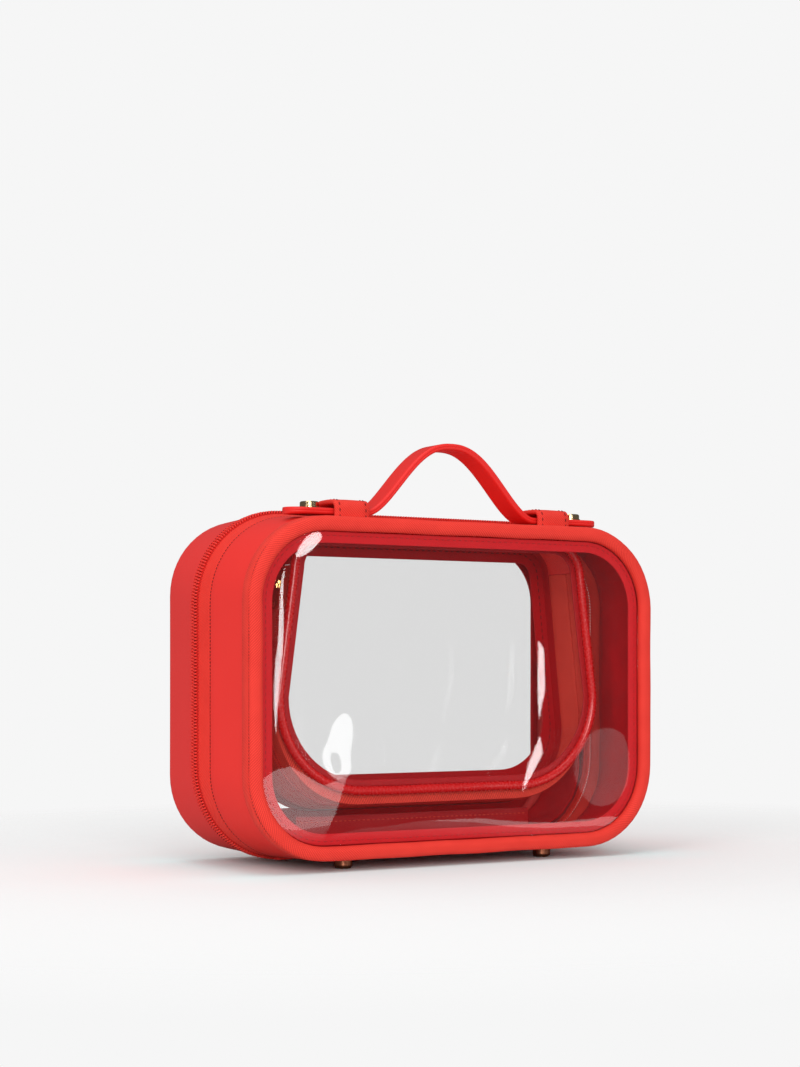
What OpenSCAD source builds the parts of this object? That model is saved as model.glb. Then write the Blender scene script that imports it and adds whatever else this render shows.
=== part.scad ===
// Makeup train case with two clear windows: a front half on feet that carries
// the strap handle, a rear half hinged to it along the bottom, a coil zip that
// runs round the other three sides, and a clear zipped pouch that hangs inside.
//
// X runs to the right, Y to the back and Z up, in millimetres. The origin lies
// on the table, under the middle of the case. All outlines are rounded
// rectangles in XZ; their size follows Y through the functions half_w, low_z,
// high_z and corner_r, and every wall is swept round that outline.

/* [Case] */
// Width over the front frame
front_w = 222; // [200:1:245]
// Height of the front frame, without its feet
front_h = 155.2; // [140:0.1:175]
// Corner radius of the front frame
front_r = 38; // [30:0.5:46]
// Depth from the front frame to the back
case_d = 92; // [86:0.5:110]
// Depth of the front half, up to the parting line of the zip
front_d = 54; // [50:0.5:58]
// Corner radius at the back edge
back_r = 36; // [28:0.5:42]
// How far each side draws in at the back edge
back_draw = 1; // [-1:0.1:6]
// How far the bottom of the back edge lies above the table
back_low = 4.5; // [4:0.1:7]
// How far the top of the back edge stands above the front frame
back_rise = 2.3; // [0:0.1:4]

/* [Flare towards the zip] */
// How far each side stands out at the seam of the front gusset
seam_flare = 0.7; // [0:0.1:2]
// How far each side stands out at the zip
zip_flare = 2.2; // [0.8:0.1:4]
// How far the bottom bulges down at the zip
zip_drop = 2.4; // [1:0.1:2.8]
// How far the top bulges up at the zip
zip_rise = 5; // [2:0.1:7]
// Growth of the corner radius from the frame to the zip
zip_r_grow = 6.5; // [0:0.5:8]

/* [Wall] */
// Thickness of the outer leathercloth
skin_t = 1; // [0.8:0.1:1.4]
// Thickness of the stiffening board
board_t = 1.2; // [0.8:0.1:2]
// Thickness of the lining
lining_t = 0.6; // [0.4:0.1:1]
// Thickness of the clear film of the case
film_t = 0.5; // [0.4:0.1:1]

/* [Front frame] */
// Width of the binding roll across the front
roll_w = 7; // [6:0.1:9]
// Depth of the binding roll
roll_d = 6.2; // [5:0.1:8]
// How far the roll stands out past the gusset
roll_proud = 0.8; // [0.4:0.1:1.5]
// Width of the twill strip behind the roll
strip_w = 7; // [5:0.1:10]
// Thickness of the twill strip
strip_t = 0.6; // [0.3:0.1:1]
// Width of the flange behind the clear front
flange_w = 5.2; // [4:0.1:12]
// Thickness of the flange
flange_t = 1; // [0.6:0.1:1.5]
// Depth of the film behind the front of the roll
film_set = 3; // [2:0.1:3.4]

/* [Back] */
// Radius of the rounded back edge
back_edge_r = 6; // [3:0.5:8]
// Width of the frame round the clear back
back_frame_w = 9; // [8:0.1:12]
// How far the lining stands up past that frame along the bottom
back_sill = 9; // [1:0.1:14]

/* [Zip] */
// Visible width of the front tape and its coil
tape_w = 14; // [12:0.5:18]
// Visible width of the rear tape and its coil
rear_tape_w = 4; // [3.4:0.1:8]
// Thickness of the woven tape
tape_t = 0.6; // [0.4:0.1:0.8]
// Width of one row of the coil
coil_w = 2.4; // [2:0.1:3]
// Height of the coil above the tape
coil_h = 1.3; // [1:0.1:1.5]
// Gap between the two rows, which the sliders' necks run in
coil_gap = 1.2; // [1:0.1:1.6]
// How far each end of the zip stops short of the bottom corner, along the hinge
hinge_margin = 2.7; // [1:0.1:20]
// Length of the tab over each end of the zip
end_tab_l = 8; // [6:0.5:12]
// Width of that tab, along the case's depth
end_tab_w = 5; // [3:0.5:6]
// Thickness of that tab
end_tab_t = 1; // [0.6:0.1:1.4]
// Height of the upright inner strip at the hinge
fin_h = 18; // [10:0.5:22]
// Thickness of the upright inner strip
fin_t = 1.6; // [1:0.1:2.5]

/* [Feet] */
// Diameter of a foot
foot_dia = 8.5; // [7:0.1:12]
// Diameter of a foot's flat underside
foot_flat = 5; // [3:0.1:6]
// Distance of the feet from the middle, sideways
foot_x = 55.5; // [40:0.5:68]
// Distance of the front feet behind the front frame
foot_set = 16.7; // [14:0.1:25]
// Distance of the rear feet in front of the back edge
rear_foot_set = 16.7; // [12:0.1:20]
// Diameter of a foot's rivet
rivet_dia = 3; // [2:0.1:4]
// Diameter of the washer inside
washer_dia = 10; // [8:0.5:14]
// Thickness of the washer
washer_t = 0.8; // [0.5:0.1:1.2]

/* [Handle] */
// Width of the strap
strap_w = 14.5; // [12:0.5:18]
// Thickness of the strap
strap_t = 3; // [2.4:0.1:3.6]
// Distance of the strap's middle behind the front frame
handle_set = 17; // [15:0.5:24]
// Height of the raised strap's middle above its ends
handle_rise = 33; // [30:0.5:38]
// Half length of the stiff crown of the handle
crown_half = 10; // [6:0.5:12]
// How much fuller than a plain wave the raised strap's arch is
arch_power = 1.25; // [1:0.05:1.5]
// Distance between a keeper and its stud
keeper_to_stud = 8; // [6:0.5:10]
// Length of a keeper along the strap
keeper_l = 18; // [12:0.5:20]
// Wall of a keeper
keeper_t = 2; // [1.4:0.1:2.6]
// Gap between a keeper and the strap
keeper_gap = 0.5; // [0.3:0.1:1]
// Distance of each stud from the side of the front frame
stud_side = 38; // [36:0.5:40]
// Distance from a stud to the round end of the strap
stud_to_end = 13; // [10:0.5:16]
// Diameter of a stud's cap
stud_dia = 9.8; // [8:0.1:11]
// Height of a stud's cap
stud_h = 3; // [2:0.1:4]
// Diameter of a stud's post
stud_post = 4; // [3:0.1:5]

/* [Sliders of the case zip] */
// Length of a slider
slider_l = 10.5; // [9:0.1:12]
// Width of a slider at its wide end
slider_w = 7.2; // [6.6:0.1:7.4]
// Thickness of a slider's plates
slider_t = 0.8; // [0.6:0.1:1]
// Gap between the coil and a slider
slider_gap = 0.25; // [0.2:0.05:0.4]
// Height of the point where the sliders meet, above the table
slider_meet_z = 84.8; // [80:0.1:90]
// Gap between the two closed sliders
slider_apart = 0.6; // [0.4:0.1:2]
// Length of a pull from its pivot
pull_l = 14; // [10:0.5:14.5]
// Width of a pull
pull_w = 5.4; // [4:0.1:6.5]
// Thickness of a pull
pull_t = 0.8; // [0.6:0.1:1]

/* [Inner pouch] */
// Distance between the pouch and the side of the front frame
pouch_side = 20.5; // [18:0.5:34]
// How far the pouch hangs to the right of the middle
pouch_shift = 3.5; // [-4:0.5:4]
// Underside of the pouch above the table
pouch_low = 26.4; // [26:0.1:36]
// Top of the pouch above the table
pouch_high = 156; // [146:0.5:156.5]
// Radius of the pouch's lower corners at the front tube
pouch_r = 46; // [40:0.5:50]
// Radius of the pouch's lower corners at the rear rim
pouch_rear_r = 36; // [30:0.5:50]
// Radius of the pouch's upper corners
pouch_top_r = 18; // [14:0.5:24]
// How far each side of the pouch draws in towards the top
pouch_draw = 8; // [0:0.5:12]
// How far the tube stands above the pouch's sagging underside
tube_lift = 6; // [1:0.1:8]
// How far that underside sinks further towards the rear rim
rim_drop = 4.5; // [0:0.1:5]
// Distance of the pouch's front tube behind the front frame
pouch_set = 24; // [23:0.5:28]
// Depth of the pouch from its front tube to its rear rim
pouch_d = 33; // [28:0.5:34]
// Diameter of the front tube
tube_dia = 4.4; // [3:0.1:5]
// Diameter of the rear rim
rim_dia = 2.4; // [2:0.1:3]
// Distance of the pouch's zip behind the front tube
pouch_zip_set = 11; // [9:0.5:14]
// Height of the zip's two ends above the table
pouch_zip_end = 139.5; // [130:0.1:142]
// Thickness of the pouch's tape and bands
pouch_t = 0.8; // [0.6:0.1:1.2]
// Width of the band round the pouch's clear front
pouch_front_band_w = 3; // [2:0.5:6]
// Width of the band round the pouch's clear back
pouch_band_w = 8; // [5:0.5:10]
// How much wider that band is along the bottom
pouch_band_rise = 8; // [0:0.5:12]
// Thickness of the pouch's film
pouch_film_t = 0.4; // [0.3:0.1:0.6]
// Half length of the strip that the pouch hangs from
hanger_half = 40; // [25:1:40]

/* [Hidden] */

// Colours
RED = [0.86, 0.12, 0.10];
TWILL = [0.92, 0.17, 0.10];
DARK_RED = [0.62, 0.06, 0.06];
BOARD = [0.25, 0.25, 0.27];
CLEAR = [0.80, 0.85, 0.88, 0.35];
BRASS = [0.88, 0.74, 0.45];
COPPER = [0.85, 0.50, 0.38];

// Depths
front_y = -case_d / 2;
back_y = case_d / 2;
part_y = front_y + front_d;
seam_y = part_y - tape_w;
rear_seam_y = part_y + rear_tape_w;
tube_y = front_y + pouch_set;
rim_y = tube_y + pouch_d;
pouch_zip_y = tube_y + pouch_zip_set;
board_margin = 0.6;
foot_h = 5.2;
seat_gap = 0.3;
corner_steps = 6;
// Share of the bulge towards the zip that the seam of the front gusset has
seam_low = 0.6;
seam_high = 0.44;
seam_round = 0.45;

// Outer surface of the gusset, from the front frame to the back edge
function along(y, values) = lookup(y, [[front_y, values[0]], [seam_y, values[1]],
                                       [part_y, values[2]], [back_y, values[3]]]);
function half_w(y) = along(y, [front_w / 2 - roll_proud, front_w / 2 + seam_flare,
                               front_w / 2 + zip_flare, front_w / 2 - back_draw]);
function low_z(y) = along(y, [foot_h + roll_proud, foot_h - zip_drop * seam_low,
                              foot_h - zip_drop, back_low]);
frame_top = foot_h + front_h;
function high_z(y) = along(y, [frame_top - roll_proud, frame_top + zip_rise * seam_high,
                               frame_top + zip_rise, frame_top + back_rise]);
function corner_r(y) = along(y, [front_r, front_r + zip_r_grow * seam_round, front_r + zip_r_grow, back_r]);

// A quarter circle round [x, z], from one angle to another
function arc(x, z, r, from, to, steps) =
    [for (k = [0 : steps]) let (a = from + (to - from) * k / steps) [x + r * cos(a), z + r * sin(a)]];
// A rounded rectangle of half width w between the heights b and t, clockwise
// from the lower left as seen from the front, with lower corners of radius r and
// upper ones of radius q; each side draws in by d towards the top
function rounded(w, b, t, r, q, d = 0) =
    concat(arc(-w + r, b + r, r, 270, 180, corner_steps), arc(-w + d + q, t - q, q, 180, 90, corner_steps),
           arc(w - d - q, t - q, q, 90, 0, corner_steps), arc(w - r, b + r, r, 0, -90, corner_steps));
// The outline of the case at y, set in by inset
function outline(y, inset) = let (r = corner_r(y) - inset)
    rounded(half_w(y) - inset, low_z(y) + inset, high_z(y) - inset, r, r);
hinge_half = half_w(part_y) - corner_r(part_y) - hinge_margin;
// The same outline opened along the bottom, between the ends of the zip
function zip_outline(y, inset) =
    let (b = low_z(y) + inset) concat([[-hinge_half, b]], outline(y, inset), [[hinge_half, b]]);
function hinge_outline(y, inset) =
    let (b = low_z(y) + inset) [[hinge_half, b], [-hinge_half, b]];

// The pouch's outline at y, set in by inset. Its underside drops behind the tube.
pouch_half = front_w / 2 - pouch_side;
sag_y = tube_y + tube_dia / 2;
sag_d = 1.2;
function pouch_bottom(y) =
    lookup(y, [[sag_y, pouch_low + tube_lift], [sag_y + sag_d, pouch_low], [rim_y, pouch_low - rim_drop]]);
function pouch_low_r(y) = lookup(y, [[sag_y, pouch_r], [rim_y, pouch_rear_r]]);
function hung(points) = [for (p = points) [p[0] + pouch_shift, p[1]]];
function pouch_outline(y, inset) =
    hung(rounded(pouch_half - inset, pouch_bottom(y) + inset, pouch_high - inset, pouch_low_r(y) - inset,
                 pouch_top_r - inset, pouch_draw));
// The angle at which the pouch's zip ends, up from the level middle of the corner
zip_end_angle = asin((pouch_zip_end - (pouch_high - pouch_top_r)) / pouch_top_r);
// Play at the ends of the zip, in degrees of the corner, for the lid to tilt
lid_play = 2.5;
function pouch_zip_outline(y, inset) =
    let (w = pouch_half - inset, b = pouch_bottom(y) + inset, r = pouch_low_r(y) - inset,
         u = w - pouch_draw, t = pouch_high - inset, q = pouch_top_r - inset)
    hung(concat(arc(u - q, t - q, q, zip_end_angle, 0, 1), arc(w - r, b + r, r, 0, -90, corner_steps),
                arc(-w + r, b + r, r, 270, 180, corner_steps),
                arc(-u + q, t - q, q, 180, 180 - zip_end_angle, 1)));
function pouch_top_outline(inset) =
    let (u = pouch_half - inset - pouch_draw, t = pouch_high - inset, q = pouch_top_r - inset)
    hung(concat(arc(-u + q, t - q, q, 180 - zip_end_angle - lid_play, 90, corner_steps),
                arc(u - q, t - q, q, 90, zip_end_angle + lid_play, corner_steps)));
// The pouch's outline at the back, where the clear sheet sits higher than the rim
function pouch_back_outline(y, inset) =
    let (rise = pouch_band_rise * max(0, inset - tape_out - pouch_t) / pouch_band_w)
    hung(rounded(pouch_half - inset, pouch_bottom(y) + inset + rise, pouch_high - inset,
                 pouch_low_r(y) - inset, pouch_top_r - inset, pouch_draw));

// Shoelace area, for the sense in which a section is listed
function area(p) = let (n = len(p))
    [for (i = [0 : n - 1]) p[i][0] * p[(i + 1) % n][1] - p[(i + 1) % n][0] * p[i][1]] *
    [for (i = [0 : n - 1]) 0.5];
function reversed(p) = [for (i = [len(p) - 1 : -1 : 0]) p[i]];

// Joins rings of 3-D points, all of one length, into a closed solid. Where
// closed is true the last ring joins the first; otherwise both get caps. cap
// lists a cap's faces where a point of the ring lies along a straight edge.
module skin(rings, closed, cap = undef) {
    n = len(rings);
    m = len(rings[0]);
    last = closed ? n - 1 : n - 2;
    sides = [for (i = [0 : last], j = [0 : m - 1])
        let (next = (i + 1) % n, k = (j + 1) % m)
        let (a = i * m + j, b = i * m + k, c = next * m + k, d = next * m + j)
        each [[a, b, c], [a, c, d]]];
    end = cap == undef ? [[for (j = [0 : m - 1]) j]] : cap;
    caps = closed ? [] : [for (face = end) each [reversed(face), [for (j = face) (n - 1) * m + j]]];
    polyhedron(points = [for (ring = rings) each ring], faces = concat(sides, caps), convexity = 8);
}

// Sweeps a section, listed as [y, inset], round an outline that depends on both
module band(section, closed = true, path = function (y, inset) outline(y, inset), cap = undef) {
    ordered = area(section) > 0 ? section : reversed(section);
    lines = [for (s = ordered) [for (p = path(s[0], s[1])) [p[0], s[0], p[1]]]];
    skin([for (i = [0 : len(lines[0]) - 1]) [for (line = lines) line[i]]], closed, cap);
}
function strip(y0, y1, outer, inner) = [[y0, outer], [y1, outer], [y1, inner], [y0, inner]];

// A flat sheet in XZ between two depths
module sheet(points, y, t) {
    translate([0, y + t, 0]) rotate([90, 0, 0]) linear_extrude(t) polygon(points);
}

// ---- Front half ----

film_y = front_y + film_set;
film_inset = roll_w - roll_proud - 0.1 + 0.2;

module front_window() {
    color(CLEAR) sheet(outline(film_y, film_inset), film_y, film_t);
}

// The binding roll, a padded bead that grips the film's edge
module front_roll() {
    r = roll_w / 2;
    o = -roll_proud;
    color(TWILL) band([for (p = [[0, 0.48], [0.08, 0.2], [0.25, 0.06], [0.36, 0], [0.42, 0.08], [0.42, 0.26],
                                 [0.86, 0.3], [1, 0.52], [0.84, 0.8], [0.55, 1 - 0.1 / r], [0.22, 0.92], [0.03, 0.7]])
        [front_y + p[0] * roll_d, o + p[1] * roll_w]]);
}

// The flat inner edge of the binding, seen through the film
module front_flange() {
    y = film_y + film_t + 0.1;
    color(DARK_RED) band(strip(y, y + flange_t, film_inset + 0.1, film_inset + 0.1 + flange_w));
}

gusset_y = front_y + 0.44 * roll_d;
module trim_strip() {
    color(TWILL) band(strip(gusset_y, gusset_y + strip_w, -strip_t, 0));
}

board_y = front_y + roll_d + board_margin;
glue_t = 0.05;
board_inset = skin_t + glue_t;
lining_inset = board_inset + board_t + glue_t;
wall_t = lining_inset + lining_t;

// A hole through the bottom wall for each foot's rivet
module rivet_holes(y) {
    for (side = [-1, 1]) translate([side * foot_x, y, 0])
        cylinder(d = rivet_dia + 0.2, h = foot_h + 2 * wall_t, $fn = 32);
}
front_foot_y = front_y + foot_set;
rear_foot_y = back_y - rear_foot_set;

module front_gusset() {
    color(RED) difference() {
        band(strip(gusset_y, seam_y, 0, skin_t));
        rivet_holes(front_foot_y);
    }
}
module front_board() {
    color(BOARD) difference() {
        band(strip(board_y, seam_y - board_margin, board_inset, board_inset + board_t));
        rivet_holes(front_foot_y);
    }
}
module front_lining() {
    color(DARK_RED) difference() {
        band(strip(board_y, seam_y, lining_inset, wall_t));
        rivet_holes(front_foot_y);
    }
}

tape_inset = 0.2;
front_row_y = part_y - coil_gap / 2;
rear_row_y = part_y + coil_gap / 2;
module front_zip_tape() {
    color(TWILL) band(strip(seam_y, front_row_y, tape_inset, tape_inset + tape_t), false,
                      function (y, inset) zip_outline(y, inset));
}
// One row of the coil: a low arch on the tape's edge. way is -1 for the front row, 1 for the rear
function coil_row(y, way, low, high) = [for (p = [[0, 0], [0, 0.9], [0.45, 1], [0.9, 0.7], [1, 0]])
    [y + way * p[0] * coil_w, low - p[1] * (low - high)]];
module front_zip_coil() {
    color(DARK_RED) band(coil_row(front_row_y, -1, tape_inset, -coil_h), false,
                         function (y, inset) zip_outline(y, inset));
}
module front_hinge_strip() {
    color(RED) band(strip(seam_y, part_y - seat_gap / 2, 0, skin_t), false,
                    function (y, inset) hinge_outline(y, inset));
}
// Upright strip inside, sewn along the hinge
fin_set = 4;
fin_y = seam_y + fin_set;
fin_foot = 2;
module hinge_fin() {
    base = low_z(fin_y - fin_t / 2 - fin_foot) + skin_t;
    color(DARK_RED) translate([-hinge_half, fin_y - fin_t / 2, base]) {
        cube([2 * hinge_half, fin_t, fin_h]);
        translate([0, -fin_foot, 0]) cube([2 * hinge_half, fin_foot + 0.5, 1]);
    }
}
// Folded tabs that cover the ends of the zip, on the front tape
module zip_end_tabs() {
    tab_r = 1;
    y1 = front_row_y - coil_w - seat_gap - tab_r;
    y0 = y1 - end_tab_w + 2 * tab_r;
    color(RED) for (side = [-1, 1]) translate([side * (hinge_half + end_tab_l / 2), 0, 0])
        hull() for (y = [y0, y1], x = [-1, 1])
            translate([x * (end_tab_l / 2 - tab_r), y, low_z(y + tab_r) + tape_inset - end_tab_t - 0.02])
                cylinder(r = tab_r, h = end_tab_t, $fn = 24);
}

// Feet: domed, with a rivet through the wall that a washer holds inside
module feet(y) {
    top = min(low_z(y - foot_dia / 2), low_z(y + foot_dia / 2));
    edge = (foot_dia - foot_flat) / 2;
    color(COPPER) for (side = [-1, 1]) translate([side * foot_x, y, 0]) {
        rotate_extrude($fn = 48) {
            square([foot_flat / 2, top]);
            translate([0, edge]) square([foot_dia / 2, top - edge]);
            translate([foot_flat / 2, edge]) circle(r = edge, $fn = 32);
        }
        cylinder(d = rivet_dia, h = washer_z(y) + washer_t, $fn = 32);
    }
}
function washer_z(y) = max(low_z(y - washer_dia / 2), low_z(y + washer_dia / 2)) + wall_t;
module foot_washers(y) {
    color(BRASS) for (side = [-1, 1]) translate([side * foot_x, y, washer_z(y)]) difference() {
        cylinder(d = washer_dia, h = washer_t, $fn = 48);
        translate([0, 0, -1]) cylinder(d = rivet_dia + 0.1, h = washer_t + 2, $fn = 32);
    }
}
module front_feet() feet(front_foot_y);
module front_foot_washers() foot_washers(front_foot_y);

// ---- Rear half ----

// The leathercloth shell turns over the rounded back edge and frames the film
module rear_shell() {
    e = back_edge_r;
    i = e - skin_t;
    outer = [for (a = [0 : 30 : 90]) [back_y - e + e * sin(a), e - e * cos(a)]];
    inner = [for (a = [90 : -30 : 0]) [back_y - e + i * sin(a), e - i * cos(a)]];
    color(RED) difference() {
        band(concat([[rear_seam_y, 0]], outer, [[back_y, back_frame_w], [back_y - skin_t, back_frame_w]],
                    inner, [[rear_seam_y, skin_t]]));
        rivet_holes(rear_foot_y);
    }
}
rear_film_y = back_y - skin_t - film_t - 0.1;
module rear_window() {
    color(CLEAR) sheet(outline(rear_film_y, back_edge_r + 0.5), rear_film_y, film_t);
}
// The lining behind the frame, which also stands up along the bottom as a sill
sill_overlap = 0.5;
function sill_outline(y, inset) =
    let (r = corner_r(y) - inset, share = (inset - back_edge_r) / (back_frame_w + sill_overlap - back_edge_r))
    rounded(half_w(y) - inset, low_z(y) + inset + share * back_sill, high_z(y) - inset, r, r);
module rear_flange() {
    inner = back_frame_w + sill_overlap;
    color(DARK_RED) band(strip(rear_film_y - flange_t, rear_film_y - 0.1, back_edge_r, inner), true,
                         function (y, inset) sill_outline(y, inset));
}
rear_board_end = back_y - back_edge_r - board_margin;
module rear_board() {
    color(BOARD) difference() {
        band(strip(rear_seam_y + board_margin, rear_board_end, board_inset, board_inset + board_t));
        rivet_holes(rear_foot_y);
    }
}
module rear_lining() {
    color(DARK_RED) difference() {
        band(strip(rear_seam_y, rear_board_end, lining_inset, wall_t));
        rivet_holes(rear_foot_y);
    }
}
module rear_zip_tape() {
    color(TWILL) band(strip(rear_row_y, rear_seam_y, tape_inset, tape_inset + tape_t), false,
                      function (y, inset) zip_outline(y, inset));
}
module rear_zip_coil() {
    color(DARK_RED) band(coil_row(rear_row_y, 1, tape_inset, -coil_h), false,
                         function (y, inset) zip_outline(y, inset));
}
module rear_hinge_strip() {
    color(RED) band(strip(part_y + seat_gap / 2, rear_seam_y, 0, skin_t), false,
                    function (y, inset) hinge_outline(y, inset));
}
module rear_feet() feet(rear_foot_y);
module rear_foot_washers() foot_washers(rear_foot_y);

// ---- Handle ----

handle_y = front_y + handle_set;
strap_z = high_z(handle_y + strap_w / 2) + seat_gap;
stud_x = front_w / 2 - stud_side;
strap_end = stud_x + stud_to_end;
keeper_x = stud_x - keeper_to_stud - keeper_l;
// Height of the raised strap's underside above its ends, and the slope there
function smooth(t) = t * t * (3 - 2 * t);
function strap_share(x) = min(1, abs(x) / keeper_x);
function strap_rise(x) = handle_rise * smooth(1 - pow(strap_share(x), arch_power));
function strap_slope(x) =
    let (t = 1 - pow(strap_share(x), arch_power), fall = arch_power * pow(strap_share(x), arch_power - 1))
    atan(-sign(x) * handle_rise * 6 * t * (1 - t) * fall / keeper_x);

// Cross-section of the strap, [across, up], with its edges eased
strap_edge = 0.8;
strap_section = [for (s = [[-1, -1], [1, -1], [1, 1], [-1, 1]])
    let (w = strap_w / 2, t = strap_t / 2, k = s[0] * s[1] > 0 ? [1, 0] : [0, 1])
    each [[s[0] * (w - strap_edge * k[1]), t + s[1] * (t - strap_edge * k[0])],
          [s[0] * (w - strap_edge * k[0]), t + s[1] * (t - strap_edge * k[1])]]];
// A stretch of the raised strap between two distances from the middle
module strap_stretch(from, to, steps) {
    rings = [for (i = [0 : steps]) let (x = from + (to - from) * i / steps, a = strap_slope(x))
        let (z = strap_z + strap_rise(x))
        [for (p = strap_section) [x - p[1] * sin(a), handle_y + p[0], z + p[1] * cos(a)]]];
    color(RED) skin(to > from ? reversed(rings) : rings, false);
}
module handle_crown() strap_stretch(-crown_half, crown_half, 12);
module handle_leg(side) {
    near = crown_half;
    far = keeper_x;
    strap_stretch(side * near, side * far, 10);
}
module handle_leg_left() handle_leg(-1);
module handle_leg_right() handle_leg(1);

// The flat end of the strap, which slides through its keeper
stud_foot = 0.9;
module handle_tab(side) {
    color(RED) translate([0, handle_y, strap_z]) difference() {
        union() {
            translate([side > 0 ? keeper_x : -(strap_end - strap_w / 2), -strap_w / 2, 0])
                cube([strap_end - strap_w / 2 - keeper_x, strap_w, strap_t]);
            translate([side * (strap_end - strap_w / 2), 0, 0]) cylinder(d = strap_w, h = strap_t, $fn = 64);
        }
        translate([side * stud_x, 0, -1]) cylinder(d = stud_post + 0.1, h = strap_t + 2, $fn = 32);
        translate([side * stud_x, 0, -1]) cylinder(d = stud_dia - 1, h = 1 + stud_foot, $fn = 48);
    }
}
module handle_tab_left() handle_tab(-1);
module handle_tab_right() handle_tab(1);

// A two-part stud: cap and post above, riveted foot sunk in the strap's underside
module handle_stud(side) {
    color(BRASS) translate([side * stud_x, handle_y, strap_z]) rotate_extrude($fn = 64) {
        translate([0, 0.1]) square([stud_dia / 2 - 0.6, stud_foot - 0.1]);
        square([stud_post / 2, strap_t + 0.5]);
        translate([0, strap_t])
            polygon([[0, 0], [stud_dia / 2, 0], [stud_dia / 2, 0.5], [stud_dia / 2 - 0.5, 0.8],
                     [stud_dia / 2 - 0.5, stud_h - 0.5], [stud_dia / 2 - 1, stud_h], [0, stud_h]]);
    }
}
module handle_stud_left() handle_stud(-1);
module handle_stud_right() handle_stud(1);

// Keeper: a loop over the strap, sewn down along both sides
// Its sole lies on the twill strip in front and on the gusset behind
sew_w = 1.5;
keeper_r = 4;
keeper_inner_w = strap_w + 2 * keeper_gap + 1;
keeper_half = keeper_inner_w / 2 + keeper_t + sew_w;
strip_back = gusset_y + strip_w;
sole_front = high_z(strip_back) + strip_t;
sole_back = high_z(handle_y + keeper_half);
keeper_lean = atan((sole_back - sole_front) / (handle_y + keeper_half - strip_back));
sole_z = sole_front + (handle_y - strip_back) * tan(keeper_lean);
module round_top(w, h, r) {
    translate([-w / 2, 0]) square([w, h - r]);
    translate([-w / 2 + r, 0]) square([w - 2 * r, h]);
    for (s = [-1, 1]) translate([s * (w / 2 - r), h - r]) circle(r = r, $fn = 32);
}
module keeper(side) {
    inner_h = strap_z - sole_z + strap_t + keeper_gap + 1.8;
    color(TWILL) translate([side * (keeper_x + keeper_l / 2), handle_y, sole_z])
        rotate([keeper_lean, 0, 0]) rotate([90, 0, 90]) translate([0, 0, -keeper_l / 2])
        linear_extrude(keeper_l) difference() {
            union() {
                round_top(keeper_inner_w + 2 * keeper_t, inner_h + keeper_t, keeper_r);
                translate([-keeper_half, 0]) square([2 * keeper_half, 1]);
            }
            translate([0, -1]) round_top(keeper_inner_w, inner_h + 1, keeper_r - keeper_t + 0.5);
        }
}
module keeper_left() keeper(-1);
module keeper_right() keeper(1);

// ---- Sliders and pulls of the case zip, on the right side ----

rail_x = half_w(part_y) + coil_h;
// A slider in its own frame: u is outwards from the coil, v across it, w along it
// towards the nose; the nose end holds the neck that parts the two rows
module slider_body(l, w, t, gap, rail_t, neck_t) {
    for (u = [gap, -rail_t - gap - t]) translate([u, 0, 0]) rotate([0, 90, 0]) linear_extrude(t)
        polygon([[l / 2, -w * 0.38], [l / 2, w * 0.38], [-l * 0.1, w / 2], [-l / 2 + 1, w / 2],
                 [-l / 2, w / 2 - 1], [-l / 2, -w / 2 + 1], [-l / 2 + 1, -w / 2], [-l * 0.1, -w / 2]]);
    translate([-rail_t - gap - t / 2, -neck_t / 2, l / 2 - neck_l])
        cube([rail_t + 2 * gap + t, neck_t, neck_l]);
    // two cheeks near the tail, with the pull's pin between them
    for (v = [-1, 1]) translate([gap + t, v * cheek_v, -l / 2 + pin_set]) rotate([90, 0, 0])
        linear_extrude(cheek_t, center = true) {
            circle(r = cheek_r + 0.1, $fn = 24);
            translate([0, -cheek_r]) square([pin_lift, 2 * cheek_r]);
            translate([pin_lift, 0]) circle(r = cheek_r, $fn = 24);
        }
    translate([gap + t + pin_lift, 0, -l / 2 + pin_set]) rotate([90, 0, 0])
        cylinder(r = pin_r, h = 2 * cheek_v, center = true, $fn = 24);
}
neck_l = 3;
pin_r = 0.3;
pin_lift = 0.7;
pin_set = 2.6;
cheek_r = 0.6;
cheek_t = 0.7;
cheek_v = 1.1;
pin_u = slider_gap + slider_t + pin_lift;
pin_w = -slider_l / 2 + pin_set;
tape_slope = half_w(part_y) - half_w(part_y - slider_w / 2);
rail_t = coil_h + tape_inset + tape_t + tape_slope;
neck_t = coil_gap - 0.4;
slider_mid = (slider_l + slider_apart) / 2;
module case_slider(way) {
    color(BRASS) translate([rail_x, part_y, slider_meet_z + way * slider_mid])
        mirror([0, 0, way > 0 ? 1 : 0]) slider_body(slider_l, slider_w, slider_t, slider_gap, rail_t, neck_t);
}
module upper_slider() case_slider(1);
module lower_slider() case_slider(-1);

// A pull that hangs from its pin: an eye between the bail's cheeks, then a flat tab
module pull(l, w, t, hole_r) {
    eye_w = 1.2;
    stem_l = 3;
    shoulder_l = 1.7;
    rim_w = 1.3;
    difference() {
        union() {
            translate([-t / 2, -eye_w / 2, -stem_l]) cube([t, eye_w, stem_l]);
            rotate([90, 0, 0]) cylinder(r = t / 2 + 0.15, h = eye_w, center = true, $fn = 24);
            translate([-t / 2, -w / 2, -l + w / 2]) cube([t, w, l - w / 2 - stem_l - shoulder_l + 0.1]);
            translate([-t / 2, 0, -l + w / 2]) rotate([0, 90, 0]) cylinder(d = w, h = t, $fn = 48);
            translate([-t / 2, 0, -stem_l]) rotate([0, 90, 0]) linear_extrude(t)
                polygon([[0, -eye_w / 2], [0, eye_w / 2], [shoulder_l, w / 2], [shoulder_l, -w / 2]]);
        }
        rotate([90, 0, 0]) cylinder(r = hole_r, h = 2 * eye_w, center = true, $fn = 24);
        translate([-t, 0, -l + w / 2]) rotate([0, 90, 0]) cylinder(d = w - 2 * rim_w, h = 2 * t, $fn = 32);
    }
}
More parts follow.
